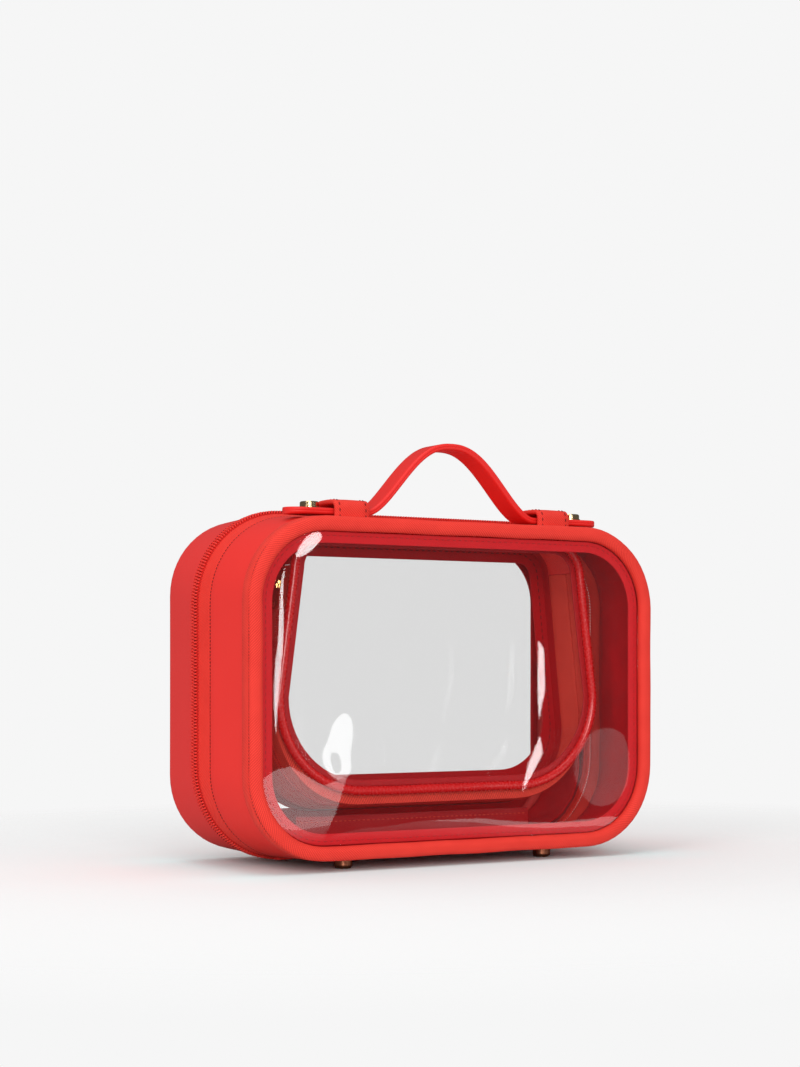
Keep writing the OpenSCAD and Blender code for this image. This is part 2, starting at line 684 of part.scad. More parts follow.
module case_pull(way) {
    color(BRASS) translate([rail_x + pin_u, part_y, slider_meet_z + way * (slider_mid - pin_w)])
        pull(pull_l, pull_w, pull_t, pin_r + 0.05);
}
module upper_pull() case_pull(1);
module lower_pull() case_pull(-1);

// ---- Inner pouch ----

pouch_gap = 0.8;
pouch_row_w = 1.6;
pouch_coil_h = 0.9;
coil_lift = 0.15;
back_band_d = 7;
band_y0 = rim_y - back_band_d;
tape_out = tube_dia / 2 - pouch_t / 2;

module pouch_band(section, closed = true, path = function (y, inset) pouch_outline(y, inset), cap = undef) {
    band(section, closed, path, cap);
}
module pouch_front_tube() {
    r = tube_dia / 2;
    color(RED) pouch_band([for (a = [0 : 45 : 315]) [tube_y + r * cos(a), r + r * sin(a)]]);
}
module pouch_front_band() {
    y = tube_y + 0.3;
    color(DARK_RED) pouch_band(strip(y, y + pouch_t, tube_dia, tube_dia + pouch_front_band_w));
}
module pouch_front_film() {
    inset = tube_dia + 0.3;
    color(CLEAR) sheet(pouch_outline(tube_y, inset), tube_y - 0.2, pouch_film_t);
}
module pouch_front_tape() {
    y1 = pouch_zip_y - pouch_gap / 2;
    inner = tape_out + pouch_t;
    color(TWILL) pouch_band([[sag_y, tape_out], [sag_y + sag_d, tape_out], [y1, tape_out],
                             [y1, inner], [sag_y + sag_d, inner], [sag_y, inner]],
                            false, function (y, inset) pouch_zip_outline(y, inset),
                            [[0, 1, 4, 5], [1, 2, 3, 4]]);
}
module pouch_front_coil() {
    y = pouch_zip_y - pouch_gap / 2;
    color(DARK_RED) pouch_band(strip(y - pouch_row_w, y, tape_out - pouch_coil_h, tape_out - coil_lift), false,
                               function (y, inset) pouch_zip_outline(y, inset));
}
module pouch_back_coil() {
    y = pouch_zip_y + pouch_gap / 2;
    color(DARK_RED) pouch_band(strip(y, y + pouch_row_w, tape_out - pouch_coil_h, tape_out - coil_lift), false,
                               function (y, inset) pouch_zip_outline(y, inset));
}
module pouch_back_tape() {
    color(TWILL) pouch_band(strip(pouch_zip_y + pouch_gap / 2, band_y0, tape_out, tape_out + pouch_t), false,
                            function (y, inset) pouch_zip_outline(y, inset));
}
module pouch_top_gusset() {
    color(RED) pouch_band(strip(sag_y + seat_gap, band_y0, tape_out, tape_out + pouch_t), false,
                          function (y, inset) pouch_top_outline(inset));
}
module pouch_back_band() {
    inner = tape_out + pouch_t;
    y1 = rim_y - rim_dia / 2;
    color(DARK_RED) pouch_band([[band_y0, tape_out], [y1, tape_out], [y1, inner + pouch_band_w],
                                [y1 - pouch_t, inner + pouch_band_w], [y1 - pouch_t, inner], [band_y0, inner]],
                               true, function (y, inset) pouch_back_outline(y, inset));
}
module pouch_back_rim() {
    r = rim_dia / 2;
    color(DARK_RED) pouch_band([for (a = [0 : 60 : 300]) [rim_y + r * cos(a), tape_out + r + r * sin(a)]]);
}
module pouch_back_film() {
    color(CLEAR) sheet(pouch_outline(rim_y, tape_out + rim_dia + 0.2), rim_y - pouch_film_t / 2, pouch_film_t);
}
// The strip that the pouch hangs from, sewn under the front gusset's rear seam
hanger_y = tube_y + pouch_d / 2;
hanger_t = 1;
module pouch_hanger() {
    low = pouch_high - tape_out + seat_gap;
    top = high_z(hanger_y - hanger_t / 2) - tape_inset - tape_t;
    color(DARK_RED) translate([-hanger_half, hanger_y - hanger_t / 2, low])
        cube([2 * hanger_half, hanger_t, top - low]);
}

// The pouch's slider rides down its left side, which leans in towards the top
pouch_side_h = pouch_high - pouch_top_r - pouch_bottom(pouch_zip_y) - pouch_low_r(pouch_zip_y);
side_angle = 180 - atan(pouch_draw / pouch_side_h);
pouch_slider_l = 8;
pouch_slider_w = 6.4;
pouch_slider_t = 0.7;
pouch_slider_gap = 0.2;
// Distance of the closed slider's middle below the corner
pouch_slider_set = 5;
pouch_pull_l = 13;
pouch_pin_u = pouch_slider_gap + pouch_slider_t + pin_lift;
pouch_pin_w = -pouch_slider_l / 2 + pin_set;
module on_pouch_side() {
    translate([pouch_shift - pouch_half + pouch_draw, pouch_zip_y, pouch_high - pouch_top_r])
        rotate([0, -side_angle, 0]) translate([pouch_coil_h - tape_out, 0, pouch_slider_set]) children();
}
module pouch_slider() {
    color(BRASS) on_pouch_side() mirror([0, 0, 1])
        slider_body(pouch_slider_l, pouch_slider_w, pouch_slider_t, pouch_slider_gap, pouch_coil_h + pouch_t,
                    pouch_gap - 0.3);
}
module pouch_pull() {
    color(BRASS) on_pouch_side() translate([pouch_pin_u, 0, -pouch_pin_w]) mirror([0, 0, 1])
        pull(pouch_pull_l, pull_w, pull_t, pin_r + 0.05);
}

front_window();
front_roll();
front_flange();
trim_strip();
front_gusset();
front_board();
front_lining();
front_zip_tape();
front_zip_coil();
front_hinge_strip();
hinge_fin();
zip_end_tabs();
keeper_left();
keeper_right();
front_feet();
front_foot_washers();
pouch_hanger();
rear_window();
rear_shell();
rear_flange();
rear_board();
rear_lining();
rear_zip_tape();
rear_zip_coil();
rear_hinge_strip();
rear_feet();
rear_foot_washers();
handle_crown();
handle_leg_left();
handle_leg_right();
handle_tab_left();
handle_tab_right();
handle_stud_left();
handle_stud_right();
upper_slider();
upper_pull();
lower_slider();
lower_pull();
pouch_back_rim();
pouch_back_band();
pouch_back_film();
pouch_back_tape();
pouch_back_coil();
pouch_top_gusset();
pouch_front_tube();
pouch_front_band();
pouch_front_film();
pouch_front_tape();
pouch_front_coil();
pouch_slider();
pouch_pull();
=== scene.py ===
"""Dresses the makeup train case: twill binding, leathercloth walls, clear films,
coil zips, stitched bands, the strap handle with its studs, and the clear pouch.

Lengths are in millimetres until a mesh is made; X runs to the right, Y to the
back and Z up, and the case stands on Z = 0.
"""

import math

import bmesh
import bpy
import numpy as np
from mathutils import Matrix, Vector, noise


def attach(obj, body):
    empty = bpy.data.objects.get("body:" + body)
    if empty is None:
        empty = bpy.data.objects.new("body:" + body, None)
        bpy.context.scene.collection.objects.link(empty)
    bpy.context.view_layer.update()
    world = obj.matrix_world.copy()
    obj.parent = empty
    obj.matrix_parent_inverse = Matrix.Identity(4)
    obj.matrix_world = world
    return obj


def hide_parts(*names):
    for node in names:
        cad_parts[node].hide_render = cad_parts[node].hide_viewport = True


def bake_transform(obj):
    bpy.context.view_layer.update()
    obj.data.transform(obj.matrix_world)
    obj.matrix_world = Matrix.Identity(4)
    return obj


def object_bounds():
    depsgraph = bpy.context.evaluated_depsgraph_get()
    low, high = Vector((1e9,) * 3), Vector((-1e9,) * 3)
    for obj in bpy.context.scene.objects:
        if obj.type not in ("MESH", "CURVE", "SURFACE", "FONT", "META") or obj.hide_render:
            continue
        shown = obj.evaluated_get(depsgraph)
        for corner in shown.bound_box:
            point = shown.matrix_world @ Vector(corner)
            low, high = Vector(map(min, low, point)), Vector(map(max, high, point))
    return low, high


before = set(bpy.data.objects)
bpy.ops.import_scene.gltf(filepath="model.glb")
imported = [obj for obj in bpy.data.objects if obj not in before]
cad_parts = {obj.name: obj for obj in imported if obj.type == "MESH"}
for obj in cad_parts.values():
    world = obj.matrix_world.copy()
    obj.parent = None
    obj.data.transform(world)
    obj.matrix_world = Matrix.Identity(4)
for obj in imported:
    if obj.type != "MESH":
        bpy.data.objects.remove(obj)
cad_low, cad_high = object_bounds()
MM = 0.001

# ---------------------------------------------------------------- camera

# Where the lens stands, its heading in degrees, and the lens in pixels of a picture
# that is PICTURE_H pixels high
CAMERA_AT = (-498.6, -817.4, 91.0)
CAMERA_HEADING = -31.0
PICTURE_H = 1067
FOCAL_PIXELS = 1967.5
SENSOR = 36.0
HORIZON_BELOW_MIDDLE = 136.7

camera = bpy.data.objects.new("camera", bpy.data.cameras.new("camera"))
bpy.context.scene.collection.objects.link(camera)
camera.location = [c * MM for c in CAMERA_AT]
camera.rotation_euler = (math.radians(90), 0, math.radians(CAMERA_HEADING))
camera.data.sensor_width = SENSOR
camera.data.lens = FOCAL_PIXELS / PICTURE_H * SENSOR
camera.data.shift_y = HORIZON_BELOW_MIDDLE / PICTURE_H
camera.data.clip_start = 0.01
camera.data.clip_end = 50
bpy.context.scene.camera = camera
bpy.context.scene.view_settings.view_transform = "Standard"
bpy.context.scene.cycles.transparent_max_bounces = 32


# ---------------------------------------------------------------- finishes

def rgb(red, green, blue):
    """A colour given as 0 to 255 screen values, as the linear values a shader takes."""
    def linear(c):
        c /= 255
        return c / 12.92 if c <= 0.04045 else ((c + 0.055) / 1.055) ** 2.4
    return (linear(red), linear(green), linear(blue), 1)


class Wire:
    """One value that runs through a finish; arithmetic on it adds Math nodes."""

    def __init__(self, finish, socket):
        self.finish = finish
        self.socket = socket

    def math(self, operation, *others):
        values = dict(enumerate((self, *others)))
        return self.finish.node("Math", {"operation": operation}, values)

    def __add__(self, other):
        return self.math("ADD", other)

    def __sub__(self, other):
        return self.math("SUBTRACT", other)

    def __rsub__(self, other):
        return (self * -1) + other

    def __mul__(self, other):
        return self.math("MULTIPLY", other)

    def __truediv__(self, other):
        return self.math("DIVIDE", other)

    def __pow__(self, other):
        return self.math("POWER", other)

    __radd__ = __add__
    __rmul__ = __mul__

    def floor(self):
        return self.math("FLOOR")

    def fract(self):
        return self.math("FRACT")

    def size(self):
        return self.math("ABSOLUTE")

    def clamped(self):
        return self.math("MINIMUM", 1).math("MAXIMUM", 0)


class Finish:
    """A material, built node by node."""

    def __init__(self, name):
        self.material = bpy.data.materials.new(name)
        self.material.use_nodes = True
        self.tree = self.material.node_tree
        self.tree.nodes.clear()

    def node(self, kind, settings=None, values=None, out=0):
        """Adds a node: its type, its settings, the values or wires of its sockets."""
        made = self.tree.nodes.new("ShaderNode" + kind)
        for key, value in (settings or {}).items():
            if key == "stops":
                for element, (place, colour) in zip(made.color_ramp.elements, value):
                    element.position, element.color = place, colour
            else:
                setattr(made, key, value)
        for key, value in (values or {}).items():
            if isinstance(value, Wire):
                self.tree.links.new(value.socket, made.inputs[key])
            else:
                made.inputs[key].default_value = value
        return Wire(self, made.outputs[out]) if made.outputs else made

    def split(self, vector):
        """The three parts of a vector."""
        parts = self.node("SeparateXYZ", None, {0: vector}).socket.node
        return [Wire(self, s) for s in parts.outputs]

    def place(self):
        """Where a point lies on the object, in millimetres."""
        return self.node("VectorMath", {"operation": "SCALE"},
                         {0: self.node("TexCoord", None, None, "Object"), "Scale": 1 / MM})

    def cloth_place(self):
        """How far along and across its strip a point lies, in millimetres."""
        along, across, _ = self.split(self.node("UVMap", {"uv_map": "strip"}))
        return along, across

    def mottle(self, grain, detail=2.0):
        """Soft random variation, 0 to 1, with patches about grain millimetres wide."""
        return self.node("TexNoise", None, {"Vector": self.place(), "Scale": 1 / grain,
                                            "Detail": detail, "Roughness": 0.5}, "Fac")

    def mix(self, share, first, second):
        """A colour between two."""
        return self.node("Mix", {"data_type": "RGBA"}, {0: share, 6: first, 7: second}, 2)

    def bump(self, height, depth):
        """A normal that rises and falls with height, by up to depth millimetres."""
        return self.node("Bump", None, {"Height": height, "Distance": depth * MM, "Strength": 1.0})

    def solid(self, **values):
        """Ends the finish with one plain shader, its sockets named with _ for spaces."""
        named = {key.replace("_", " ").title().replace("Ior", "IOR"): v for key, v in values.items()}
        shader = self.node("BsdfPrincipled", None, named, "BSDF")
        return self.end(shader)

    def end(self, shader):
        """Puts the shader on the surface and gives back the material."""
        self.node("OutputMaterial", None, {"Surface": shader})
        return self.material


def twill_height(f, pitch, herringbone):
    """Ribs that run slantwise over a strip, each broken up by its yarns. Herringbone is
    the width after which they turn back, or 0."""
    along, across = f.cloth_place()
    if herringbone:
        across = ((across / herringbone).fract() - 0.5).size() * (2 * herringbone)
    slant = (along + across) / pitch
    rib = 1 - ((slant.fract() - 0.5).size() * 2) ** 2.2
    yarn = 1 - ((((along - across) / pitch + slant.floor() * 0.5).fract() - 0.5).size() * 2) ** 2
    return rib * (yarn * 0.35 + 0.65)


def twill(name, light, dark, pitch, herringbone=0, rough=0.62):
    """Woven cloth with slanting ribs pitch millimetres apart; its colour is darker in the grooves between the
    ribs, which is painted shade.
    """
    f = Finish(name)
    height = twill_height(f, pitch, herringbone)
    worn = f.mottle(9)
    # The colour follows the ribs: darker in the grooves between them, which is painted shade, and it also
    # varies at random in patches about 9 mm wide.
    tone = (height * 0.75 + worn * 0.3).clamped()
    return f.solid(base_color=f.mix(tone, dark, light), roughness=rough + (1 - height) * 0.2,
                   normal=f.bump(height, depth=0.12), specular_ior_level=0.22)


def leathercloth(name, light, dark, rough=0.42):
    """Coated cloth with a fine pebbled grain."""
    f = Finish(name)
    place = f.place()
    grain = 0.9
    pebble = f.node("TexVoronoi", {"feature": "F1"}, {"Vector": place, "Scale": 1 / grain}, "Distance")
    broad, fine = f.mottle(34), f.mottle(1.7, 4)
    height = pebble * 0.7 + fine * 0.3
    return f.solid(base_color=f.mix((broad * 0.6 + fine * 0.3).clamped(), dark, light),
                   roughness=rough + fine * 0.12, normal=f.bump(height, depth=0.03),
                   coat_weight=0.12, coat_roughness=0.35, specular_ior_level=0.25)


def lining_cloth(name, light, dark):
    """Thin shiny cloth in plain weave."""
    f = Finish(name)
    along, across = f.cloth_place()
    turns = 2 * math.pi / 0.7
    weave = (along * turns).math("SINE") * (across * turns).math("SINE")
    broad = f.mottle(14, 3)
    return f.solid(base_color=f.mix(broad, dark, light), roughness=0.36 + broad * 0.2,
                   normal=f.bump(weave, depth=0.03), specular_ior_level=0.15)


def piping(name, light, dark):
    """Glossy cover of a cord."""
    f = Finish(name)
    broad, fine = f.mottle(18), f.mottle(1.2, 3)
    return f.solid(base_color=f.mix(broad, dark, light), roughness=0.2 + fine * 0.14,
                   normal=f.bump(fine, depth=0.04), coat_weight=0.5, coat_roughness=0.15)


def thread(name, light, dark):
    """Sewing thread."""
    f = Finish(name)
    twist = f.mottle(0.5, 2)
    return f.solid(base_color=f.mix(twist, dark, light), roughness=0.55,
                   normal=f.bump(twist, depth=0.05), specular_ior_level=0.3)


def nylon(name, light, dark):
    """Smooth plastic of the zips' coils."""
    f = Finish(name)
    shade = f.mottle(1.6, 2)
    return f.solid(base_color=f.mix(shade, dark, light), roughness=0.38 + shade * 0.12,
                   normal=f.bump(shade, depth=0.03), specular_ior_level=0.3)


def metal(name, light, dark, rough):
    """Plated metal, finely brushed and a little tarnished."""
    f = Finish(name)
    tarnish, brushed = f.mottle(6, 3), f.mottle(0.6, 4)
    return f.solid(base_color=f.mix((tarnish * 1.2).clamped(), dark, light), metallic=1.0,
                   roughness=rough + brushed * 0.12, normal=f.bump(brushed, depth=0.008))


def millboard(name, light, dark):
    """Pressed fibre board."""
    f = Finish(name)
    fibre = f.mottle(0.8, 5)
    return f.solid(base_color=f.mix(fibre, dark, light), roughness=0.85,
                   normal=f.bump(fibre, depth=0.05))


def clear_film(name, tint, least=0.028):
    """Clear vinyl: it shows what lies behind and mirrors lamps and cards, by the share
    least where it faces the eye and by the share most at a grazing angle."""
    most = 0.4
    f = Finish(name)
    facing = f.node("LayerWeight", None, {"Blend": 0.5}, "Facing")
    shine = f.node("BsdfGlossy", None, {"Color": (1, 1, 1, 1), "Roughness": 0.02})
    through = f.node("BsdfTransparent", None, {"Color": tint})
    share = (facing ** 6) * (most - least) + least
    return f.end(f.node("MixShader", None, {0: share, 1: through, 2: shine}))


TWILL = twill("binding_twill", rgb(243, 66, 52), rgb(186, 26, 24), pitch=1.3)
WALL = leathercloth("front_leathercloth", rgb(238, 50, 42), rgb(230, 42, 37))
# The rear shell's copy of the front leathercloth is a little darker, which is painted shade on the rear side,
# and a little greyer.
REAR_WALL_PAINTED_SHADE = leathercloth("rear_leathercloth_painted_shade", rgb(231, 53, 49), rgb(223, 46, 44))
STRAP = leathercloth("strap_leathercloth", rgb(232, 44, 38), rgb(218, 34, 31), rough=0.4)
LINING = lining_cloth("lining_taffeta", rgb(212, 8, 24), rgb(164, 3, 15))
FLANGE = twill("flange_twill", rgb(222, 28, 36), rgb(192, 12, 24), pitch=0.8, rough=0.5)
TAPE = twill("zip_tape", rgb(246, 60, 46), rgb(196, 26, 24), pitch=1.3)
POUCH_TAPE = twill("pouch_tape", rgb(255, 84, 66), rgb(176, 16, 16), pitch=1.3, herringbone=2.6)
COIL = nylon("zip_coil", rgb(236, 60, 48), rgb(214, 34, 30))
POUCH_COIL = nylon("pouch_coil", rgb(226, 44, 36), rgb(196, 22, 22))
TUBE = piping("pouch_piping", rgb(216, 20, 22), rgb(200, 12, 17))
BAND = leathercloth("pouch_leathercloth", rgb(192, 12, 22), rgb(174, 6, 17), rough=0.36)
SEAM_THREAD = thread("seam_thread", rgb(196, 26, 28), rgb(160, 10, 18))
PALE_THREAD = thread("pale_thread", rgb(236, 84, 60), rgb(214, 56, 44))
DARK_THREAD = thread("dark_thread", rgb(120, 6, 14), rgb(90, 3, 9))
COPPER = metal("copper", rgb(240, 160, 124), rgb(216, 130, 96), 0.28)
BRASS = metal("pale_brass", rgb(240, 214, 172), rgb(214, 182, 136), 0.1)
BOARD = millboard("board", rgb(150, 18, 24), rgb(120, 8, 16))
FILM = clear_film("case_film", (0.99, 0.99, 0.99, 1))
POUCH_FILM = clear_film("pouch_film", (0.975, 0.975, 0.975, 1), 0.002)
REAR_FILM = clear_film("rear_film", (0.955, 0.955, 0.955, 1), 0.001)


# ---------------------------------------------------------------- outlines

# From the front: the front edge, the zip tape's seam, the middle of the zip, the rear
# tape's seam and the back edge
FRONT_Y, SEAM_Y, PART_Y, REAR_SEAM_Y, BACK_Y = -46.0, -6.0, 8.0, 12.0, 46.0
LEVELS = (FRONT_Y, SEAM_Y, PART_Y, BACK_Y)
# The case's outline at each of LEVELS
HALF_WIDTHS = (110.2, 111.7, 113.2, 110.0)
LOW_EDGES = (6.0, 3.76, 2.8, 4.5)
HIGH_EDGES = (159.6, 162.6, 165.4, 162.7)
CORNER_RADII = (38.0, 40.925, 44.5, 36.0)
HINGE_HALF, HINGE_POINTS = 66.0, 34
CORNER_STEPS, SIDE_STEPS, TOP_STEPS, TOP_CORNER_STEPS = 14, 10, 16, 9


def half_w(y):
    return np.interp(y, LEVELS, HALF_WIDTHS)


def low_z(y):
    return np.interp(y, LEVELS, LOW_EDGES)


def high_z(y):
    return np.interp(y, LEVELS, HIGH_EDGES)


def corner_r(y):
    return np.interp(y, LEVELS, CORNER_RADII)


def arc(x, z, r, start, end, steps=CORNER_STEPS):
    """Points round the middle x, z, from the angle start to end, in degrees."""
    turn = np.radians(np.linspace(start, end, steps + 1))
    return np.column_stack([x + r * np.cos(turn), z + r * np.sin(turn)])


def line(a, b, steps):
    """The points between a and b, without those two."""
    share = np.linspace(0, 1, steps + 1)[1:-1, None]
    return np.array(a) * (1 - share) + np.array(b) * share


def rounded(w, low, high, r, gap=None, top_r=None, draw=0):
    """A rounded rectangle, clockwise from the lower left as seen from the front, whose
    sides draw in towards the top. With gap it is open below, between x = -gap and gap."""
    left, right, q, u = -w + r, w - r, top_r or r, w - draw
    parts = [arc(left, low + r, r, 270, 180), line((-w, low + r), (-u, high - q), SIDE_STEPS),
             arc(q - u, high - q, q, 180, 90), line((q - u, high), (u - q, high), TOP_STEPS),
             arc(u - q, high - q, q, 90, 0), line((u, high - q), (w, low + r), SIDE_STEPS),
             arc(right, low + r, r, 0, -90)]
    if gap is None:
        parts.append(line((right, low), (left, low), TOP_STEPS))
    else:
        parts = [[(-gap, low)], *parts, [(gap, low)]]
    return np.vstack(parts)


def case_ring(y, inset, gap=None):
    """The case's outline at the depth y, drawn in by inset."""
    return rounded(half_w(y) - inset, low_z(y) + inset, high_z(y) - inset, corner_r(y) - inset, gap)


def zip_ring(y, inset):
    """The same outline, open below between the ends of the hinge."""
    return case_ring(y, inset, HINGE_HALF)


def hinge_ring(y, inset):
    """The stretch below, between the ends of the zip."""
    return np.column_stack([np.linspace(HINGE_HALF, -HINGE_HALF, HINGE_POINTS),
                            np.full(HINGE_POINTS, low_z(y) + inset)])


# The pouch: half its width, how far it stands to the right, its top, the radius of its
# upper corners, and how far each side draws in towards the top
POUCH_HALF, POUCH_SHIFT, POUCH_HIGH, POUCH_TOP_R, POUCH_DRAW = 90.5, 3.5, 156.0, 18.0, 8.0
TUBE_Y, RIM_Y, SAG_Y, SAG_D = -22.0, 11.0, -19.8, 1.2
TUBE_R, RIM_R, POUCH_T, TAPE_OUT = 2.2, 1.2, 0.8, 1.8
FRONT_BAND_W, BACK_BAND_W, BACK_BAND_RISE = 3.0, 8.0, 8.0
# Its zip ends at this height; ZIP_END is the angle there on the upper corner
POUCH_ZIP_HIGH, ZIP_END_GAP = 139.5, 1.0
ZIP_END = math.degrees(math.asin((POUCH_ZIP_HIGH - (POUCH_HIGH - POUCH_TOP_R)) / POUCH_TOP_R))


def pouch_low(y):
    """The underside, which sinks behind the tube and on towards the rear rim."""
    return np.interp(y, (SAG_Y, SAG_Y + SAG_D, RIM_Y), (32.4, 26.4, 21.9))


def pouch_r(y):
    """The radius of the lower corners."""
    return np.interp(y, (SAG_Y, RIM_Y), (46.0, 36.0))


def pouch_ring(y, inset, rise=0):
    """The pouch's outline at the depth y, drawn in by inset and lifted below by rise."""
    w, low, high = POUCH_HALF - inset, pouch_low(y) + inset + rise, POUCH_HIGH - inset
    return rounded(w, low, high, pouch_r(y) - inset, top_r=POUCH_TOP_R - inset,
                   draw=POUCH_DRAW) + (POUCH_SHIFT, 0)


def pouch_back_ring(y, inset):
    """The same for the rear band, whose turned-in edge is wider along the bottom."""
    return pouch_ring(y, inset, BACK_BAND_RISE * max(0, inset - TAPE_OUT - POUCH_T) / BACK_BAND_W)


def pouch_zip_ring(y, inset):
    """The pouch's outline without its top: down the right side and up the left."""
    w, low, high = POUCH_HALF - inset, pouch_low(y) + inset, POUCH_HIGH - inset
    r, q, u = pouch_r(y) - inset, POUCH_TOP_R - inset, w - POUCH_DRAW
    return np.vstack([arc(u - q, high - q, q, ZIP_END, 0, 2), line((u, high - q), (w, low + r), SIDE_STEPS),
                      arc(w - r, low + r, r, 0, -90), line((w - r, low), (r - w, low), TOP_STEPS),
                      arc(r - w, low + r, r, 270, 180), line((-w, low + r), (-u, high - q), SIDE_STEPS),
                      arc(q - u, high - q, q, 180, 180 - ZIP_END, 2)]) + (POUCH_SHIFT, 0)


def pouch_top_ring(_, inset):
    """The top of the pouch, between the ends of its zip; it is the same at every depth."""
    u, high, q = POUCH_HALF - POUCH_DRAW - inset, POUCH_HIGH - inset, POUCH_TOP_R - inset
    end = ZIP_END + ZIP_END_GAP
    return np.vstack([arc(q - u, high - q, q, 180 - end, 90, TOP_CORNER_STEPS),
                      line((q - u, high), (u - q, high), TOP_STEPS),
                      arc(u - q, high - q, q, 90, end, TOP_CORNER_STEPS)]) + (POUCH_SHIFT, 0)


# ---------------------------------------------------------------- making pieces

def finish_piece(name, mesh, material, body, replaces, sharp=50):
    """Turns a mesh into a piece that stands for CAD nodes and rides on its body, or on
    none yet where body is None. Edges over sharp degrees aren't smoothed."""
    mesh.materials.clear()
    mesh.materials.append(material)
    for polygon in mesh.polygons:
        polygon.use_smooth = True
    mesh.set_sharp_from_angle(angle=math.radians(sharp))
    piece = bpy.data.objects.new(name, mesh)
    bpy.context.scene.collection.objects.link(piece)
    if body:
        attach(piece, body)
    if replaces:
        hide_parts(*replaces)
    return piece


def outward(mesh):
    """Merges doubles and turns all faces outwards."""
    work = bmesh.new()
    work.from_mesh(mesh)
    bmesh.ops.remove_doubles(work, verts=work.verts, dist=1e-7)
    bmesh.ops.recalc_face_normals(work, faces=work.faces)
    work.to_mesh(mesh)
    work.free()
    return mesh


def lengths(points):
    """Distance along a row of points, with the way back to the first at the end."""
    steps = np.linalg.norm(np.diff(np.vstack([points, points[:1]]), axis=0), axis=1)
    return np.concatenate([[0], np.cumsum(steps)])


def skin(name, rings, loop):
    """A mesh over rings of points, each ring a closed section. With loop the last
    ring joins the first; otherwise both ends are capped. Its map "strip" holds how far
    along and across each point lies, in millimetres."""
    rings = np.asarray(rings, float)
    n, m = rings.shape[:2]
    along, across = lengths(rings[:, 0]), lengths(rings[0])
    faces, places = [], []
    for i in range(n if loop else n - 1):
        for j in range(m):
            a, b = (i + 1) % n, (j + 1) % m
            faces.append((i * m + j, i * m + b, a * m + b, a * m + j))
            places += [(along[i], across[j]), (along[i], across[j + 1]),
                       (along[i + 1], across[j + 1]), (along[i + 1], across[j])]
    if not loop:
        for i in (0, n - 1):
            faces.append(tuple(i * m + j for j in range(m)))
            places += [(along[i], across[j]) for j in range(m)]
    mesh = bpy.data.meshes.new(name)
    mesh.from_pydata((rings.reshape(-1, 3) * MM).tolist(), [], faces)
    strip_map = mesh.uv_layers.new(name="strip")
    strip_map.data.foreach_set("uv", np.array(places, np.float32).ravel())
    return outward(mesh)


def eased(y0, y1, outer, inner, ease, steps, rows):
    """The section of a strip from y0 to y1, as [y, inset], with its edges rounded to the
    radius ease and its two broad faces divided into rows."""
    # A little under half of the strip at most, so that opposite roundings never meet
    ease = min(ease, abs(inner - outer) / 2.01, abs(y1 - y0) / 2.01)
    corners = [(y1 - ease, outer + ease, 90, 0), (y1 - ease, inner - ease, 0, -90),
               (y0 + ease, inner - ease, -90, -180), (y0 + ease, outer + ease, 180, 90)]
    points = []
    for k, (y, inset, start, end) in enumerate(corners):
        for a in np.radians(np.linspace(start, end, steps + 1)):
            points.append((y + ease * math.cos(a), inset - ease * math.sin(a)))
        if k in (1, 3):
            a, b = points[-1], ((y0 + ease, inner) if k == 1 else (y1 - ease, outer))
            points += [tuple(p) for p in line(a, b, rows)]
    return points


def circle(y, inset, r, steps):
    """A round section, as [y, inset]."""
    return [(y + r * math.cos(a), inset + r * math.sin(a))
            for a in np.radians(np.linspace(0, 360, steps, endpoint=False))]


def sweep(section, ring):
    """Carries a section of [y, inset] round a ring."""
    lines = [np.insert(ring(y, inset), 1, y, axis=1) for y, inset in section]
    return np.stack(lines, axis=1)


def ripple(points, amount, grain, seed, stretch=(1, 1, 1)):
    """Soft random offset for each point, in millimetres, with waves about grain wide;
    stretch makes them finer along an axis where it is over 1, and longer where under."""
    sx, sy, sz = stretch
    return np.array([amount * noise.noise(Vector((p[0] * sx / grain + seed, p[1] * sy / grain,
                                                  p[2] * sz / grain - seed))) for p in points])


def out_of(points):
    """The way out of the case at each point, square to the long axis. Points above and
    below the flat stretch move up or down only, and those beside it sideways only."""
    middle, flat_half_w, flat_half_h = 83.0, 60.0, 40.0
    x, z = points[:, 0], points[:, 2] - middle
    offset = np.column_stack([np.sign(x) * np.maximum(np.abs(x) - flat_half_w, 0),
                              np.zeros(len(points)),
                              np.sign(z) * np.maximum(np.abs(z) - flat_half_h, 0)])
    return offset / np.maximum(np.linalg.norm(offset, axis=1), 1e-6)[:, None]


def band(name, section, material, body, replaces, ring=case_ring, loop=True, wave=None, sharp=50):
    """A strip with its section swept round a ring; wave moves its points in and out."""
    rings = sweep(section, ring)
    if wave:
        flat = rings.reshape(-1, 3)
        rings = (flat + out_of(flat) * wave(flat)[:, None]).reshape(rings.shape)
    return finish_piece(name, skin(name, rings, loop), material, body, replaces, sharp)


